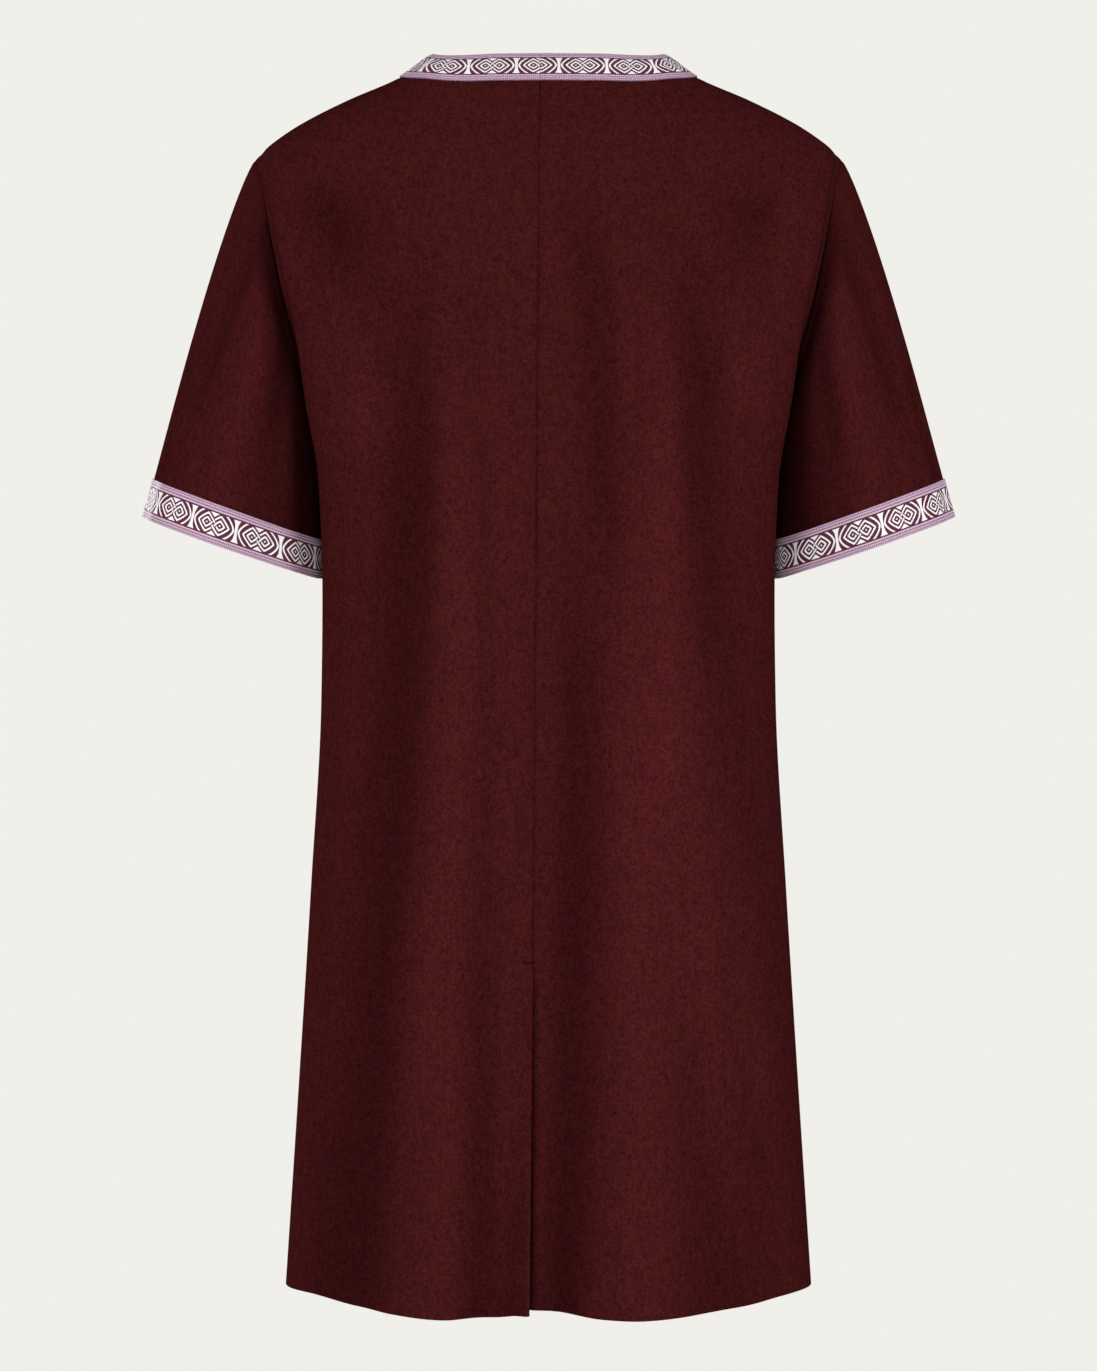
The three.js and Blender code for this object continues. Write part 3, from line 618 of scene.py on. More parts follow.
def wall_object(
    name,
    points,
    normals,
    present,
    material,
    threads,
    low=-CLOTH,
    high=0,
    wrap=False,
    layers=None,
):
    """A closed wall: the grid moved out along its normals to low and to high, with rims between.

    Cells that miss a corner are left out, and each edge that only one cell has gets a rim. The
    thread lengths become its UV map in metres, and each layer an attribute of the points.
    """
    rows, columns = present.shape
    number = np.full(present.shape, -1)
    number[present] = np.arange(present.sum())
    count = int(present.sum())
    outer = (points + normals * high)[present]
    inner = (points + normals * low)[present]
    cells = np.arange(rows - 1), np.arange(columns - (0 if wrap else 1))
    r, c = (index.ravel() for index in np.meshgrid(*cells, indexing="ij"))
    cell = ((r, c), (r + 1, c), (r + 1, c + 1), (r, c + 1))
    corners = np.stack([number[row, column % columns] for row, column in cell], 1)
    places = np.stack([threads[corner] for corner in cell], 1)
    whole = (corners >= 0).all(1)
    corners, places = corners[whole], places[whole]
    origin, below, beside = (outer[corners[:, i]] for i in (0, 1, 3))
    faces_to = np.cross(below - origin, beside - origin)
    if (faces_to * normals[present][corners[:, 0]]).sum() < 0:
        corners, places = corners[:, ::-1], places[:, ::-1]
    start = corners.ravel()
    end = np.roll(corners, -1, axis=1).ravel()
    start_place = places.reshape(-1, 2)
    end_place = np.roll(places, -1, axis=1).reshape(-1, 2)
    alone = ~np.isin(start * count + end, end * count + start)
    p, q = start[alone], end[alone]
    rim = np.stack([q, p, p + count, q + count], 1)
    p_place, q_place = start_place[alone], end_place[alone]
    rim_places = np.stack([q_place, p_place, p_place, q_place], 1)
    faces = np.concatenate([corners, corners[:, ::-1] + count, rim])
    uv = np.concatenate([places, places[:, ::-1], rim_places])

    mesh = bpy.data.meshes.new(name)
    mesh.from_pydata(np.concatenate([outer, inner]) * MM, [], faces.tolist())
    mesh.uv_layers.new(name="threads").data.foreach_set("uv", (uv * MM).ravel())
    for layer, values in (layers or {}).items():
        attribute = mesh.attributes.new(layer, "FLOAT", "POINT")
        attribute.data.foreach_set("value", np.tile(values[present], 2).astype(np.float32))
    mesh.shade_smooth()
    mesh.set_sharp_from_angle(angle=SHARP_ANGLE)
    mesh.materials.append(material)
    mesh.validate()
    piece = bpy.data.objects.new(name, mesh)
    scene.collection.objects.link(piece)
    return piece


NOISE_SLICE = 0.00137


class Dye:
    """A socket of a material. Python's operators on it add the Math nodes that work out the sum."""

    def __init__(self, tree, socket=None):
        self.tree = tree
        self.socket = socket

    def make(self, kind, settings=None, values=None, output=0):
        """Adds a node of this kind, sets its settings, then its sockets by name or number."""
        node = self.tree.nodes.new(kind)
        for key, value in (settings or {}).items():
            if key == "stops":
                for stop, (place, colour) in zip(self.ramp_stops(node, len(value)), value):
                    stop.position = place
                    stop.color = colour
            else:
                setattr(node, key, value)
        for key, value in (values or {}).items():
            if isinstance(value, Dye):
                self.tree.links.new(value.socket, node.inputs[key])
            else:
                node.inputs[key].default_value = value
        return Dye(self.tree, node.outputs[output])

    @staticmethod
    def ramp_stops(node, count):
        """A colour ramp's stops, as many as asked for."""
        while len(node.color_ramp.elements) < count:
            node.color_ramp.elements.new(0.5)
        return node.color_ramp.elements

    def math(self, operation, *values):
        """A Math node on this value and others."""
        sockets = dict(enumerate((self, *values)))
        return self.make("ShaderNodeMath", {"operation": operation}, sockets)

    def __add__(self, other):
        return self.math("ADD", other)

    def __sub__(self, other):
        return self.math("SUBTRACT", other)

    def __mul__(self, other):
        return self.math("MULTIPLY", other)

    def __truediv__(self, other):
        return self.math("DIVIDE", other)

    def __pow__(self, other):
        return self.math("POWER", other)

    def __rsub__(self, other):
        return self.make("ShaderNodeMath", {"operation": "SUBTRACT"}, {0: other, 1: self})

    def __abs__(self):
        return self.math("ABSOLUTE")

    __radd__ = __add__
    __rmul__ = __mul__

    def step(self, low, high, to_low=0.0, to_high=1.0):
        """A smooth step from to_low at low to to_high at high."""
        return self.make(
            "ShaderNodeMapRange",
            {"interpolation_type": "SMOOTHSTEP"},
            {"Value": self, "From Min": low, "From Max": high, "To Min": to_low, "To Max": to_high},
        )

    def noise(self, across, down, scale, detail=2.0):
        """Noise over two lengths, its grain 1/scale metres. Each scale has its own slice of it."""
        height = scale * NOISE_SLICE
        place = self.make("ShaderNodeCombineXYZ", None, {"X": across, "Y": down, "Z": height})
        return self.make(
            "ShaderNodeTexNoise",
            {"noise_dimensions": "3D"},
            {"Vector": place, "Scale": scale, "Detail": detail},
        )


def blend(factor, first, second):
    """A Mix node on two colours."""
    return factor.make(
        "ShaderNodeMix",
        {"data_type": "RGBA"},
        {"Factor": factor, 6: first, 7: second},
        output=2,
    )


def new_material(name):
    """A material and its thread lengths across and down, in metres."""
    material = bpy.data.materials.new(name)
    material.use_nodes = True
    start = Dye(material.node_tree)
    threads = start.make("ShaderNodeUVMap", {"uv_map": "threads"})
    across = start.make("ShaderNodeSeparateXYZ", None, {0: threads}, output=0)
    down = start.make("ShaderNodeSeparateXYZ", None, {0: threads}, output=1)
    return material, across, down


DARK_YARN = (0.0275, 0.0036, 0.0039, 1)
MAIN_YARN = (0.0440, 0.0062, 0.0068, 1)
BRIGHT_YARN = (0.0635, 0.0093, 0.0100, 1)
PURPLE_YARN = (0.0430, 0.0066, 0.0098, 1)
RUSSET_YARN = (0.0550, 0.0094, 0.0070, 1)
GREY_FUZZ = (0.074, 0.025, 0.026, 1)
TACK_THREAD = (0.012, 0.003, 0.004, 1)
THREAD_PITCH = 0.00105
# FOLD_SHADE: painted shade per millimetre of the fold attribute, darker in hollows, lighter on
# ridges.
FOLD_SHADE = 0.048
HUE_SHARE = 0.35
FUZZ_SHARE = 0.25
TACK_SHARE = 0.85
CLOTH_RELIEF = 0.00022
PUCKER = 0.0016
TACK_RISE = 0.0006
TACK_HALF_WIDTH = (0.0005, 0.0011)
TACK_REACH = (8.0, 8.6)
TACK_START = (0.0108, 0.0114)
# how many grains of each noise a metre holds
STREAKS = 560
SPECKLE = 520
CLOUDS = 140
HUES = 210
FUZZ = 1900
PUCKERS = 95


def burgundy_cloth(name, seam=None, tack=None):
    """Melange cloth: a plain weave of dark and bright burgundy threads with a little grey fuzz.

    The yarn's tone is 0.28 warp + 0.20 weft + 0.42 speckle + 0.10 cloud, all noises. A wider one
    tints it, and it is scaled by exp(fold * FOLD_SHADE): painted shade in the hollows and painted
    light on the ridges, as a hollow takes less light than a ridge. The fold attribute also carries
    painted shade beside the armholes, under the arms and under the vent's lap, and the armhole
    seam's dark line. The bump is the weave, sin(across) * sin(down), with the streaks' slubs. seam
    names the attribute of the distance to a sewn seam, where the cloth puckers and a dark line
    shows; tack is the height of a bar tack of dark thread, on the left of that seam.
    """
    material, across, down = new_material(name)
    warp = across.noise(across, down * 0.35, STREAKS)
    weft = across.noise(across * 0.5, down, STREAKS)
    speckle = across.noise(across, down, SPECKLE)
    cloud = across.noise(across, down * 0.6, CLOUDS)
    tone = warp * 0.28 + weft * 0.20 + speckle * 0.42 + cloud * 0.10
    darkness = tone.step(0.35, 0.51)
    brightness = tone.step(0.47, 0.61)
    colour = blend(brightness, blend(darkness, DARK_YARN, MAIN_YARN), BRIGHT_YARN)
    hue = across.noise(across, down * 0.35, HUES)
    colour = blend(hue.step(0.50, 0.66, 0.0, HUE_SHARE), colour, PURPLE_YARN)
    colour = blend(hue.step(0.36, 0.50, HUE_SHARE, 0.0), colour, RUSSET_YARN)
    fuzz = across.noise(across, down * 0.8, FUZZ).step(0.56, 0.76, 0.0, FUZZ_SHARE)
    colour = blend(fuzz, colour, GREY_FUZZ)
    # Painted shade and light: the fold attribute darkens the colour in hollows and lightens it on
    # ridges.
    fold = across.make("ShaderNodeAttribute", {"attribute_name": "fold"}, output=2)
    shade = (fold * FOLD_SHADE).math("EXPONENT")
    tinted = {0: colour, "Scale": shade}
    colour = across.make("ShaderNodeVectorMath", {"operation": "SCALE"}, tinted)

    wave = math.pi / THREAD_PITCH
    weave = (across * wave).math("SINE") * (down * wave).math("SINE")
    relief = (weave * 0.10 + warp * 0.55 + weft * 0.5 + speckle * 0.3) * CLOTH_RELIEF
    if seam:
        distance = across.make("ShaderNodeAttribute", {"attribute_name": seam}, output=2)
        waves = across.noise(across * 0.0, down, PUCKERS, detail=1.0)
        relief = relief + (waves - 0.5) * distance.step(0.0, 9.0, 1.0, 0.0) * PUCKER
        seam_line = distance.step(0.2, 1.6, 1.0, 0.0) * waves.step(0.35, 0.6, 0.25, 0.8)
        colour = blend(seam_line, colour, DARK_YARN)
    if tack:
        height = abs(down - tack * MM).step(*TACK_HALF_WIDTH, 1.0, 0.0)
        sewn = height * (distance.step(*TACK_REACH, 1.0, 0.0) * across.step(*TACK_START))
        relief = relief + sewn * TACK_RISE
        colour = blend(sewn * TACK_SHARE, colour, TACK_THREAD)
    raised = {"Strength": 0.8, "Distance": 1.0, "Height": relief}
    bump = across.make("ShaderNodeBump", None, raised)
    surface = material.node_tree.nodes["Principled BSDF"]
    surface.inputs["Roughness"].default_value = 0.92
    surface.inputs["Specular IOR Level"].default_value = 0.0
    material.node_tree.links.new(colour.socket, surface.inputs["Base Color"])
    material.node_tree.links.new(bump.socket, surface.inputs["Normal"])
    return material


BACK = Face(
    1,
    BACK_SECTIONS,
    BACK_CREASES,
    BACK_DENTS,
    BACK_ARMHOLE,
    BACK_HEM,
    curve(SEAM_DRIFT),
    BACK_NECK,
)
left_points, left_present, left_fold = half_panel(BACK, 1)
right_points, right_present, right_fold = half_panel(BACK, -1)


def vent_sink(row, distance):
    """How far the right panel sinks under the left one beside the vent, deeper towards the hem."""
    depth = mix(VENT_SINK_TOP, VENT_SINK_HEM, np.clip((row - VENT_ROW) / SKIRT_ROWS, 0, 1))
    return np.where(row < VENT_ROW, 0, depth * (1 - smooth(distance / SINK_REACH)))


def lay_underlap(points, present):
    """The right panel sinks beside the vent, and its underlap goes on under the left one."""
    row = np.arange(HEM_ROW + 1)[:, None]
    seam_line = points[:, 0].copy()
    distance = np.nan_to_num(seam_line[:, :1] - points[..., 0], nan=FAR)
    points[..., 1] -= vent_sink(row, distance)
    offset = np.arange(UNDERLAP_COLUMNS, 0, -1) * UNDERLAP / UNDERLAP_COLUMNS
    x = seam_line[:, :1] + offset
    z = np.repeat(seam_line[:, 2:], UNDERLAP_COLUMNS, 1)
    lap = np.stack([x, reach(BACK, x, z, 1.0) - vent_sink(row, 0.0), z], -1)
    lap[:VENT_ROW] = np.nan
    present = np.concatenate([np.repeat(row >= VENT_ROW, UNDERLAP_COLUMNS, 1), present], 1)
    return np.concatenate([lap, points], 1), present


def seam_dip(distance):
    """How far the sewn edges dip into the seam, less their rise over the turnings behind them.

    Both are bells exp(-((distance - place) / width)^2).
    """
    edge = SEAM_DIP * np.exp(-((distance / SEAM_DIP_WIDTH) ** 2))
    return edge - TURNING_RISE * np.exp(-(((distance - TURNING_PLACE) / TURNING_WIDTH) ** 2))


def from_edge(points, edge=0):
    """The level distance of a half panel's points to its edge, the column at the centre back."""
    return np.abs(points[..., 0] - points[:, [edge], 0])


def from_seam(distance):
    """The distance to the sewn seam, which ends where the vent begins."""
    distance = np.nan_to_num(distance, nan=NO_SEAM)
    distance[VENT_ROW + 1 :] = NO_SEAM
    return distance


left_threads = thread_lengths(BACK, left_points)
right_threads = thread_lengths(BACK, right_points)
left_distance = from_edge(left_points)
right_distance = from_edge(right_points)
left_points[..., 1] -= seam_dip(left_distance)
right_points[..., 1] -= seam_dip(right_distance)
right_points, right_present = lay_underlap(right_points, right_present)
lap_threads = np.repeat(right_threads[:, :1], UNDERLAP_COLUMNS, 1)
right_threads = np.concatenate([lap_threads, right_threads], 1)
lap_columns = ((0, 0), (UNDERLAP_COLUMNS, 0))
right_fold = np.pad(right_fold, lap_columns, mode="edge")
# Painted shadow on the right panel under the left one's lap, along the vent's edge, darker towards
# the hem.
vent_depth = np.clip((np.arange(HEM_ROW + 1)[:, None] - VENT_ROW) / SKIRT_ROWS, 0, 1)
past_edge = np.nan_to_num(from_edge(right_points, UNDERLAP_COLUMNS), nan=FAR)
right_fold += LAP_SHADE * vent_depth**0.6 * np.exp(-past_edge / LAP_REACH)
left_seam_distance = from_seam(left_distance)
right_seam_distance = from_seam(np.pad(right_distance, lap_columns, constant_values=NO_SEAM))

BACKWARDS = np.array([0, 1.0, 0])
left_normals = grid_normals(left_points, BACKWARDS)
right_normals = grid_normals(right_points, BACKWARDS)
left_shift = settle_seams(BACK, left_normals, 1)
right_shift = settle_seams(BACK, right_normals, -1, UNDERLAP_COLUMNS)


# ---- Front panel ---------------------------------------------------------------------------------
# One front panel of the same cloth, cut on the fold, with a deeper neckline than the back. It is
# sewn to the backs along the shoulders and the sides.
FRONT_CUT = (0.60, 1.11)
FRONT_AREA = 0.58
FRONT_NECK = (101, 2.2)
FRONT_SECTIONS = [
    (-1024.5, 218.7, 140, 6, 1.8),
    (-857, 207.5, 132, 10, 1.9),
    (-690, 196.7, 123, 16, 2.0),
    (-540, 188.0, 115, 22, 2.1),
    (-437, 184.5, 116, 28, 2.2),
    (-359, 184.0, 119, 40, 2.4),
    (-300, 188.0, 121, 48, 2.4),
    (-230, 200.0, 122, 64, 2.4),
    (-173, 213.0, 120, 70, 2.4),
    (-140, 221.0, 118, 74, 2.4),
    (-110, 229.0, 118, 74, 2.4),
    (-82, 239.5, 118, 74, 2.4),
]
FRONT_ARMHOLE = [
    (0, 184, 0),
    (7.5, 194, -26),
    (15, 202, -39),
    (30, 213, -46),
    (45, 223, -43),
    (60, 232, -33),
    (75, 240, -18),
    (90, 245, 0),
]
FRONT_HEM = [(0, 3), (0.4, 5), (0.7, 3.5), (0.92, 0), (1, 0)], 0.0
FRONT_CREASES = [
    (-190, -1300, 0.30, 0.36, 0.42, 0.15, 0.36, 6.5, 6.0, 300),
    (-150, -1300, 0.44, 0.66, 0.68, 0.25, 0.14, -8.0, -11.0, 260),
    (-400, -1300, 0.20, 0.18, 0.21, 0.13, 0.10, -4.0, -12.0, 170),
    (-700, -1300, 0.05, 0.09, 0.08, 0.11, 0.08, -2.5, -8.0, 250),
    (-300, -1300, -0.10, -0.12, -0.04, 0.12, 0.15, -5.5, -13.5, 200),
    (-170, -1300, -0.27, -0.34, -0.30, 0.13, 0.28, 3.0, 6.0, 230),
    (-180, -1180, -0.44, -0.55, -0.70, 0.28, 0.13, 5.0, 6.5, 250),
    (-175, -1250, -0.50, -0.80, -0.92, 0.13, 0.21, -8.5, -2.5, 140),
    (-110, -340, 0.78, 0.72, 0.70, 0.22, 0.18, -8.5, 4.0, 90),
    (-115, -330, -0.72, -0.75, -0.82, 0.20, 0.14, -8.0, 4.0, 80),
    (-760, -1300, 0.86, 0.85, 0.88, 0.13, 0.18, -3.0, -6.5, 150),
    (-720, -1300, -0.60, -0.66, -0.68, 0.20, 0.22, -4.0, -10.0, 180),
    (-620, -980, -0.30, -0.33, -0.36, 0.15, 0.12, 3.0, 3.5, 100),
    (-150, -520, 0.16, 0.22, 0.34, 0.12, 0.10, -4.5, -3.5, 110),
]
FRONT_DENTS = [
    (-260, 0.20, 70, 0.10, -1.4),
    (-350, -0.45, 80, 0.10, -1.6),
    (-450, 0.42, 80, 0.08, 1.4),
    (-590, -0.30, 90, 0.08, 1.4),
    (-700, 0.52, 80, 0.08, -1.5),
    (-820, -0.45, 90, 0.08, 1.6),
    (-900, 0.25, 80, 0.07, 1.4),
]
FRONT = Face(
    -1,
    FRONT_SECTIONS,
    FRONT_CREASES,
    FRONT_DENTS,
    FRONT_ARMHOLE,
    FRONT_HEM,
    lambda z: np.zeros(np.shape(z)),
    FRONT_NECK,
)


def front_half(half):
    """A half of the front: its points, which of them are there, its folds and its threads."""
    points, present, fold = half_panel(FRONT, half)
    return points, present, fold, thread_lengths(FRONT, points)


def join_halves(right, left):
    """The right half turned round and the left half, with one centre column."""
    return np.concatenate([right[:, :0:-1], left], 1)


front_points, front_present, front_fold, front_threads = (
    join_halves(right, left) for right, left in zip(front_half(-1), front_half(1))
)
front_normals = grid_normals(front_points, -BACKWARDS)
front_shift = np.zeros_like(front_points)
for view_order in (slice(None), slice(None, None, -1)):
    turned = front_normals[:, view_order]
    front_shift[:, view_order] += settle_seams(FRONT, turned, 0, SEAM_COLUMN)
    front_normals = turned[:, view_order]


# ---- Sleeves -------------------------------------------------------------------------------------
# Short wide sleeves, one piece each, set into the armholes with a plain seam. They hang from the
# shoulders, open to an oval cuff, and swell a little between the two.
SLEEVE_CUT = (0.545, 0.345)
SLEEVE_AREA = 0.11
SLEEVE_ROWS = 54
ROW_CROWDING = 1.25
BOLT_START = 1000
CUFF_CENTRE = (266.3, -20.0, -411.4)
CUFF_HIGH = 78.9
CUFF_DEEP = 53.0
CUFF_LEAN = math.radians(19.2)
CUFF_ROLL = math.radians(3.2)
SWELL_TOP = 6.5
SWELL_SIDES = 15
SWELL_UNDER = -1
SWELL_POWERS = (0.6, 1.3)
SWELL_PEAK = SWELL_POWERS[0] / sum(SWELL_POWERS)
CREASE_HEAD = 0.22
CREASE_FOOT = 0.25
SEWN_FLAT = 0.08
ARMHOLE_SINK = 4
SINK_HEAD = 0.06
SINK_FOOT = 0.30
# the part round the top, in degrees from it, that is free of the armhole's hollow
FREE_TOP = 25
FREE_TOP_FADE = 55
# Painted shade in the hollow beside the armhole seam and under the arm; SEAM_SHADE is a dark line
# along the armhole seam, fainter over the top.
ARMHOLE_SHADE = -22
ARMHOLE_SHADE_REACH = 0.18
UNDERARM_SHADE = -22
UNDERARM_SHADE_POWER = 4.5
SEAM_SHADE = -24
SEAM_SHADE_TOP = 0.35
# start and end of a crease along the sleeve, its angles round it there, its width in degrees, rise
SLEEVE_CREASES = {
    1: [
        (0.00, 0.75, 52, 38, 16, -4.0),
        (0.05, 1.30, 80, 84, 24, 3.0),
        (0.02, 0.60, 118, 112, 15, -3.5),
        (0.30, 1.30, 128, 132, 16, 2.5),
        (0.10, 1.30, 300, 290, 22, -4.0),
        (0.00, 0.90, 250, 262, 20, 3.0),
        (0.35, 1.30, 20, 14, 18, -2.5),
    ],
    -1: [
        (0.00, 0.80, 48, 42, 17, -4.5),
        (0.05, 1.30, 76, 90, 22, 3.0),
        (0.08, 0.70, 108, 106, 14, -3.0),
        (0.10, 1.30, 295, 300, 22, -4.0),
        (0.00, 0.90, 255, 250, 20, 3.0),
        (0.45, 1.30, 22, 18, 16, -2.5),
    ],
}


def around_angle(seam):
    """The angle of each seam point round the cuff: 0 at the top, 180 degrees at the underarm.

    On the back and on the front it grows with the length along the armhole.
    """
    length = np.linalg.norm(np.roll(seam, -1, axis=0) - seam, axis=-1)
    back = np.concatenate([[0], np.cumsum(length[:YOKE_ROWS])])
    front_part = np.cumsum(length[YOKE_ROWS:])
    return np.pi * np.concatenate([back / back[-1], 1 + front_part[:-1] / front_part[-1]])


def sleeve_grid(half, seam):
    """The sleeve's points: straight lines from the armhole to the cuff, swollen and creased.

    The rows lie closer near the armhole, and the last ones are under the band. The swell goes as
    t^a * (1 - t)^b along the sleeve, and the creases are cosine waves round it. Below its top the
    sleeve sinks a little behind the armhole seam. The shade, which the cloth reads as a fold, is
    the creases' rise, painted shade in their hollows and painted light on their ridges, less the
    dark line of the seam and the painted shade of the hollow beside it and of the underarm.
    """
    angle = around_angle(seam)
    degrees = np.degrees(angle)
    up = np.array([half * math.cos(CUFF_LEAN), 0, math.sin(CUFF_LEAN)])
    back = np.array([0, math.cos(CUFF_ROLL), -math.sin(CUFF_ROLL)])

    def spoke(high, deep):
        """The way out from the sleeve's axis at each angle: high * cos and deep * sin."""
        return (high * np.cos(angle))[..., None] * up + (deep * np.sin(angle))[..., None] * back

    cuff = np.array(CUFF_CENTRE) * (half, 1, 1) + spoke(CUFF_HIGH, CUFF_DEEP)
    band_share = 1 - TRIM_WIDTH / np.linalg.norm(cuff - seam, axis=-1)
    sleeve_row = np.arange(SLEEVE_ROWS + 1)[:, None] / SLEEVE_ROWS
    band_row = np.arange(1, TRIM_ROWS + 1)[:, None] / TRIM_ROWS
    t = np.concatenate([band_share * sleeve_row**ROW_CROWDING, mix(band_share, 1, band_row)])

    a, b = SWELL_POWERS
    swell = t**a * (1 - t) ** b / (SWELL_PEAK**a * (1 - SWELL_PEAK) ** b)
    out = spoke(SWELL_TOP * np.maximum(np.cos(angle), 0), SWELL_SIDES * np.abs(np.sin(angle)))
    underarm = (1 - np.cos(angle)) / 2
    out[:, 0] += half * SWELL_UNDER * underarm**2
    points = mix(seam, cuff, t[..., None]) + swell[..., None] * out

    rise = np.zeros(t.shape)
    for start, end, first, last, width, height in SLEEVE_CREASES[half]:
        along = np.clip((t - start) / (end - start), 0, 1)
        away = np.clip(np.abs(degrees - mix(first, last, along)) / width, 0, 1)
        ends = smooth((t - start) / CREASE_HEAD) * smooth((end - t) / CREASE_FOOT)
        rise += height * ends * (1 + np.cos(np.pi * away)) / 2
    rise *= smooth(t / SEWN_FLAT)
    from_top = 180 - np.abs(degrees - 180)
    below_top = smooth((from_top - FREE_TOP) / FREE_TOP_FADE)
    behind = np.clip(np.sin(angle), 0, 1) ** 0.6 * below_top
    rise -= ARMHOLE_SINK * behind * smooth(t / SINK_HEAD) * (1 - smooth(t / SINK_FOOT))

    # Painted shade in the armhole's hollow and under the arm, added to the creases' painted fold
    # shade.
    hollow = np.abs(np.sin(angle)) ** 1.5 * below_top * (1 - smooth(t / ARMHOLE_SHADE_REACH))
    shade = rise + ARMHOLE_SHADE * hollow + UNDERARM_SHADE * underarm**UNDERARM_SHADE_POWER
    shade[0] += SEAM_SHADE * mix(SEAM_SHADE_TOP, 1, below_top)
    return points + rise[..., None] * spoke(1.0, 1.0), shade


def make_sleeve(half, back_seam, front_seam, back_normals, front_normals_at):
    """A sleeve from the panels' seam points, with shared normals along the armhole."""
    seam = np.concatenate([back_seam, front_seam[-2:0:-1]])
    panel_normals = np.concatenate([back_normals, front_normals_at[-2:0:-1]])
    points, fold = sleeve_grid(half, seam)
    axis = points.mean(1, keepdims=True)
    normals = grid_normals(points, points - axis, wrap=True)
    shared = panel_normals + normals[0]
    shared[[0, YOKE_ROWS], 1] = 0
    shared /= np.linalg.norm(shared, axis=-1, keepdims=True)
    along = np.roll(seam, -1, axis=0) - np.roll(seam, 1, axis=0)
    away = np.cross(along, shared) * half
    away /= np.linalg.norm(away, axis=-1, keepdims=True)
    normals[0] = shared
    shift = np.zeros_like(points)
    shift[0] = away * -SEAM_LAP
    front_shared = np.concatenate([shared[:1], shared[: YOKE_ROWS - 1 : -1]])
    return points, normals, shift, fold, shared[: YOKE_ROWS + 1], front_shared


def sleeve_threads(points):
    """Lengths round the sleeve from its top line, and up it from the cuff, on a bolt of its own."""
    closed = np.concatenate([points, points[:, :1]], 1)
    around = np.linalg.norm(np.diff(closed, axis=1), axis=-1)
    around = np.concatenate([np.zeros((len(points), 1)), np.cumsum(around, 1)], 1)
    along = np.linalg.norm(np.diff(closed, axis=0), axis=-1)
    along = np.concatenate([np.zeros((1, closed.shape[1])), np.cumsum(along, 0)])
    return np.stack([around, along[-1] - along - BOLT_START], -1)


# ---- Sewing up -----------------------------------------------------------------------------------
# The panels and sleeves are sewn together with plain seams. Where two of them meet, both walls take
# the same normals, so that their edges lie flat together, and each takes its plain solid's place.
yoke_rows = slice(RIDGE_ROW, UNDERARM_ROW + 1)
sleeves = {}
for half, back_points, back_normals, front_edge in (
    (1, left_points, left_normals, -1),
    (-1, right_points, right_normals, 0),
):
    made = make_sleeve(
        half,
        back_points[yoke_rows, -1],
        front_points[yoke_rows, front_edge],
        back_normals[yoke_rows, -1],
        front_normals[yoke_rows, front_edge],
    )
    sleeves[half] = made[:4]
    back_normals[yoke_rows, -1] = made[4]
    front_normals[yoke_rows, front_edge] = made[5]


def take_place(piece, node, slot, **sheet):
    """The piece rides on the garment's root, in place of its node, which is hidden."""
    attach(piece, "root")
    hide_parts(node)


back_cloth = burgundy_cloth("burgundy_cloth_back", seam="seam_distance", tack=TACK_Z)
plain_cloth = burgundy_cloth("burgundy_cloth")
back_left = wall_object(
    "back_left_cloth",
    left_points + left_shift,
    left_normals,
    left_present,
    back_cloth,
    left_threads,
    layers={"seam_distance": left_seam_distance, "fold": left_fold},
)
back_right = wall_object(
    "back_right_cloth",
    right_points + right_shift,
    right_normals,
    right_present,
    back_cloth,
    right_threads,
    layers={"seam_distance": right_seam_distance, "fold": right_fold},
)
front = wall_object(
    "front_cloth",
    front_points + front_shift,
    front_normals,
    front_present,
    plain_cloth,
    front_threads,
    layers={"fold": front_fold},
)
backs = ["back_left", "back_right"]
for piece, node in zip((back_left, back_right), backs):
    take_place(piece, node, "cloth", flat=BACK_CUT, held="hung", rests_on=["front"], area=BACK_AREA)
take_place(front, "front", "cloth", flat=FRONT_CUT, held="hung", rests_on=backs, area=FRONT_AREA)

for half, side in ((1, "left"), (-1, "right")):
    points, normals, shift, fold = sleeves[half]
    sleeve = wall_object(
        f"sleeve_{side}_cloth",
        points + shift,
        normals,
        np.ones(points.shape[:2], bool),
        plain_cloth,
        sleeve_threads(points),
        wrap=True,
        layers={"fold": fold},
    )
    take_place(
        sleeve,
        f"sleeve_{side}",
        "cloth",
        flat=SLEEVE_CUT,
        held="hung",
        rests_on=[f"back_{side}", "front"],
        area=SLEEVE_AREA,
    )


# ---- Woven bands ---------------------------------------------------------------------------------
# Jacquard ribbon 33 mm wide, laid flat round the neckline and the cuffs and stitched at both edges:
# a pale knotwork of yarn floats on a burgundy ground between two ribbed lilac borders.
TRIM_LOW = 0.4
TRIM_HIGH = 1.4
RIBBON = TRIM_WIDTH * MM
BORDER = 6.5
ZONE = (TRIM_WIDTH / 2 - BORDER) * MM
REPEAT = 0.039
KNOT = 0.0057
DIAMOND_PITCH = 0.0038
DIAMOND_POWER = 1.15
DIAMOND_SQUARE = 0.75
DIAMONDS = 2.0
STRAND = 0.00066
OUTLINE = 0.00070
ARC = 0.0115
ARC_POWER = 1.5
ARC_EXTRA = 0.00012
SPOOL_WAIST = 0.0011
SPOOL_FLARE = 0.0026
WEDGE_REACH = (0.0103, 0.0105)
WEDGE_MARGIN = 0.0010
SOFT = 0.00012
RIB_PITCH = 0.0015
FINE_PITCH = 0.0006
FLOATS = 1500
INNER_STRIPE = 0.0026
OUTER_STRIPE = 0.0048
STRIPE_HALF_WIDTH = (0.0004, 0.0009)
JOIN_HALF_WIDTH = (0.0003, 0.0008)
BAND_RELIEF = 0.0005
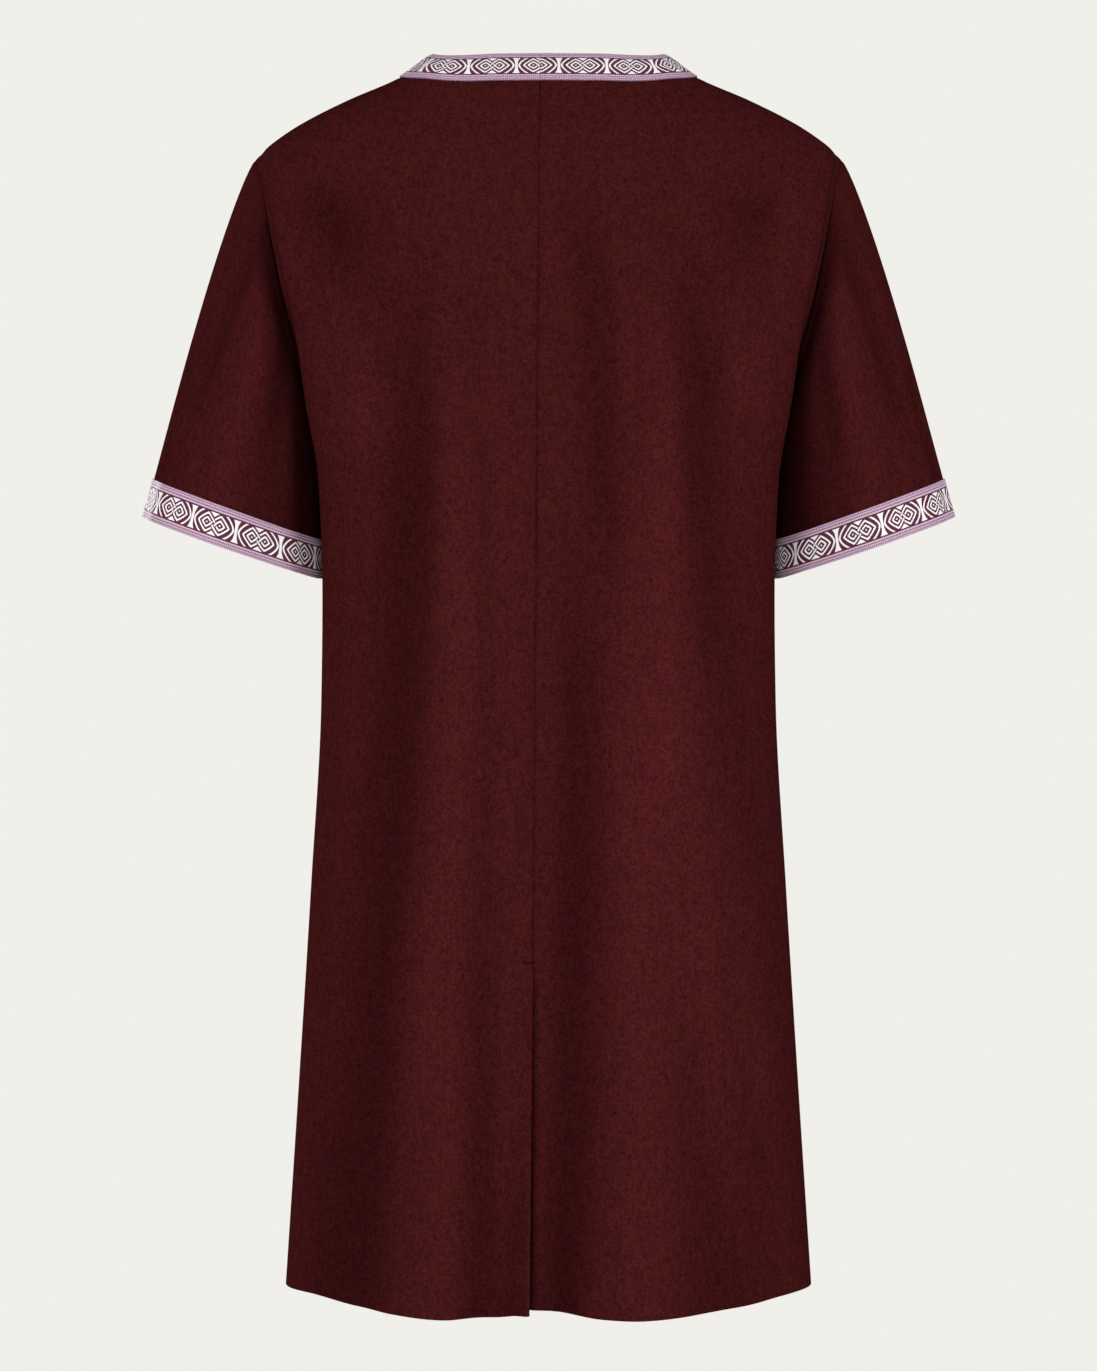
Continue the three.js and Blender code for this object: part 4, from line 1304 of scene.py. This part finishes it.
CUFF_PHASES = {"left": 0.0055, "right": 0.0235}
GROUND = (0.092, 0.0090, 0.028, 1)
PALE_YARN = (0.97, 0.93, 0.98, 1)
LILAC = (0.70, 0.50, 0.64, 1)
LILAC_SHADE = (0.17, 0.065, 0.14, 1)


def woven_band(name, phase, length, join):
    """Jacquard ribbon of this length, from its lengths along and across, joined at one place.

    A repeat holds a knot: rounded diamonds |x|^p + |y|^p = (n * pitch)^p round two centres, each
    strand broken where it goes under another. A rounder arc closes the knot at each end, a spool
    with flared ends stands before the next one, and a wedge fills the notch over the crossing.
    The borders are ribbed along the ribbon and have two dotted stripes.
    """
    material, along, across = new_material(name)
    x = (((along + phase) / REPEAT).math("FRACT") - 0.5) * REPEAT
    ax = abs(x)
    ay = abs(across)

    def radius(offset, power):
        """The rounded diamond's radius (|x|^p + |y|^p)^(1/p) at an offset from its centre."""
        return (abs(offset) ** power + ay**power) ** (1 / power)

    def rings(centre):
        """The number of the diamond next to a point and the distance to it, square to its sides."""
        reach = radius(x - centre, DIAMOND_POWER)
        number = (reach / DIAMOND_PITCH).math("ROUND").math("MINIMUM", DIAMONDS)
        return number, abs(reach - number * DIAMOND_PITCH) * DIAMOND_SQUARE

    def line(distance):
        """White within the strand's half width."""
        return distance.step(STRAND - SOFT, STRAND + SOFT, 1.0, 0.0)

    def strand(distance, over, mask):
        """A strand, left out where a strand over it passes with its dark outline."""
        edge = STRAND + OUTLINE
        return line(distance) * (1 - over.step(edge - SOFT, edge + SOFT, mask, 0.0))

    left_number, left_distance = rings(-KNOT)
    right_number, right_distance = rings(KNOT)
    upper = across.math("GREATER_THAN", 0.0)
    order = ((left_number + right_number + upper) * 0.5).math("FRACT") * 2
    knot = strand(left_distance, right_distance, order)
    knot = knot.math("MAXIMUM", strand(right_distance, left_distance, 1 - order))
    beyond = radius((ax - KNOT).math("MAXIMUM", 0.0), ARC_POWER)
    arc = line(abs(beyond - ARC) - ARC_EXTRA)
    spool_reach = SPOOL_WAIST + (ay / ZONE) ** 3 * SPOOL_FLARE
    spool = (REPEAT / 2 - ax - spool_reach).step(-SOFT, SOFT, 1.0, 0.0)
    from_centre = radius(ax - KNOT, DIAMOND_POWER)
    wedge = from_centre.step(*WEDGE_REACH) * (KNOT - WEDGE_MARGIN - ax).step(-SOFT, SOFT)
    inside = ay.step(ZONE - 0.0008, ZONE - 0.0006, 1.0, 0.0)
    pale = knot.math("MAXIMUM", arc).math("MAXIMUM", spool).math("MAXIMUM", wedge) * inside

    rib = (along * (2 * math.pi / RIB_PITCH)).math("SINE")
    floats = along.noise(along, across * 0.3, FLOATS, detail=1.0)
    border = ay.step(ZONE + 0.0005, ZONE + 0.0007)
    dots = rib.step(-0.5, 0.7, 1.0, 0.4)
    inner_stripe = abs(ay - (ZONE + INNER_STRIPE)).step(*STRIPE_HALF_WIDTH, 0.9, 0.0)
    outer_stripe = abs(ay - (ZONE + OUTER_STRIPE)).step(*STRIPE_HALF_WIDTH, 0.8, 0.0)
    stripe = inner_stripe.math("MAXIMUM", outer_stripe)
    edge = ay.step(RIBBON / 2 - 0.0008, RIBBON / 2 - 0.0001)
    dark = stripe * dots + rib.step(-0.2, 0.9, 0.14, 0.0) + edge * 0.7
    lilac = blend(dark.math("MINIMUM", 1.0), LILAC, LILAC_SHADE)
    pattern = blend(pale * (floats * 0.4 + 0.82).math("MINIMUM", 1.0), GROUND, PALE_YARN)
    colour = blend(border, pattern, lilac)
    from_join = abs(((along - join) / length + 0.5).math("FRACT") - 0.5) * length
    colour = blend(from_join.step(*JOIN_HALF_WIDTH, 0.7, 0.0), colour, LILAC_SHADE)

    fine = (across * (2 * math.pi / FINE_PITCH)).math("SINE") * 0.10
    height = pale * 0.5 + border * (rib * 0.22 + 0.3 - stripe * 0.3) + floats * 0.25 + fine
    raised = {"Strength": 0.7, "Distance": 1.0, "Height": height * BAND_RELIEF}
    bump = along.make("ShaderNodeBump", None, raised)
    surface = material.node_tree.nodes["Principled BSDF"]
    surface.inputs["Roughness"].default_value = 0.62
    surface.inputs["Specular IOR Level"].default_value = 0.3
    surface.inputs["Sheen Weight"].default_value = 0.08
    material.node_tree.links.new(colour.socket, surface.inputs["Base Color"])
    material.node_tree.links.new(bump.socket, surface.inputs["Normal"])
    return material


def band_threads(points):
    """Lengths along the band, taken on its middle row, and across from its middle line."""
    closed = np.concatenate([points, points[:, :1]], 1)
    middle = closed[len(points) // 2]
    along = np.concatenate([[0], np.cumsum(np.linalg.norm(np.diff(middle, axis=0), axis=-1))])
    across = mix(-TRIM_WIDTH / 2, TRIM_WIDTH / 2, np.arange(len(points)) / (len(points) - 1))
    return np.stack(np.broadcast_arrays(along[None, :], across[:, None]), -1)


def neck_ring(left, front_grid, right):
    """The neck band's grid from the cloth's: round from the centre back over the left shoulder."""
    rows = slice(0, TRIM_ROWS + 1)
    centre_front = SEAM_COLUMN
    first = left[rows, : NECK_COLUMNS + 1]
    middle = front_grid[rows, centre_front - NECK_COLUMNS : centre_front + NECK_COLUMNS][:, ::-1]
    last = right[rows, UNDERLAP_COLUMNS + 1 : UNDERLAP_COLUMNS + NECK_COLUMNS][:, ::-1]
    return np.concatenate([first, middle, last], 1)


def lay_band(name, node, points, normals, phase, join_share, rests_on):
    """A band round a grid of points of the cloth, joined at a share of its length."""
    threads = band_threads(points)
    length = threads[0, -1, 0] * MM
    band = wall_object(
        name,
        points,
        normals,
        np.ones(points.shape[:2], bool),
        woven_band(f"woven_band_{name.replace('_band', '')}", phase, length, length * join_share),
        threads,
        low=TRIM_LOW,
        high=TRIM_HIGH,
        wrap=True,
    )
    take_place(band, node, "band", flat=(RIBBON, round(length, 3)), held="laid", rests_on=rests_on)


lay_band(
    "neck_band",
    "neck_trim",
    neck_ring(left_points, front_points, right_points),
    neck_ring(left_normals, front_normals, right_normals),
    REPEAT / 2,
    0.0,
    ["back_left", "back_right", "front"],
)
for half, side in ((1, "left"), (-1, "right")):
    cuff_points, cuff_normals = (grid[SLEEVE_ROWS:] for grid in sleeves[half][:2])
    lay_band(
        f"cuff_band_{side}",
        f"cuff_trim_{side}",
        cuff_points,
        cuff_normals,
        CUFF_PHASES[side],
        0.5,
        [f"sleeve_{side}"],
    )
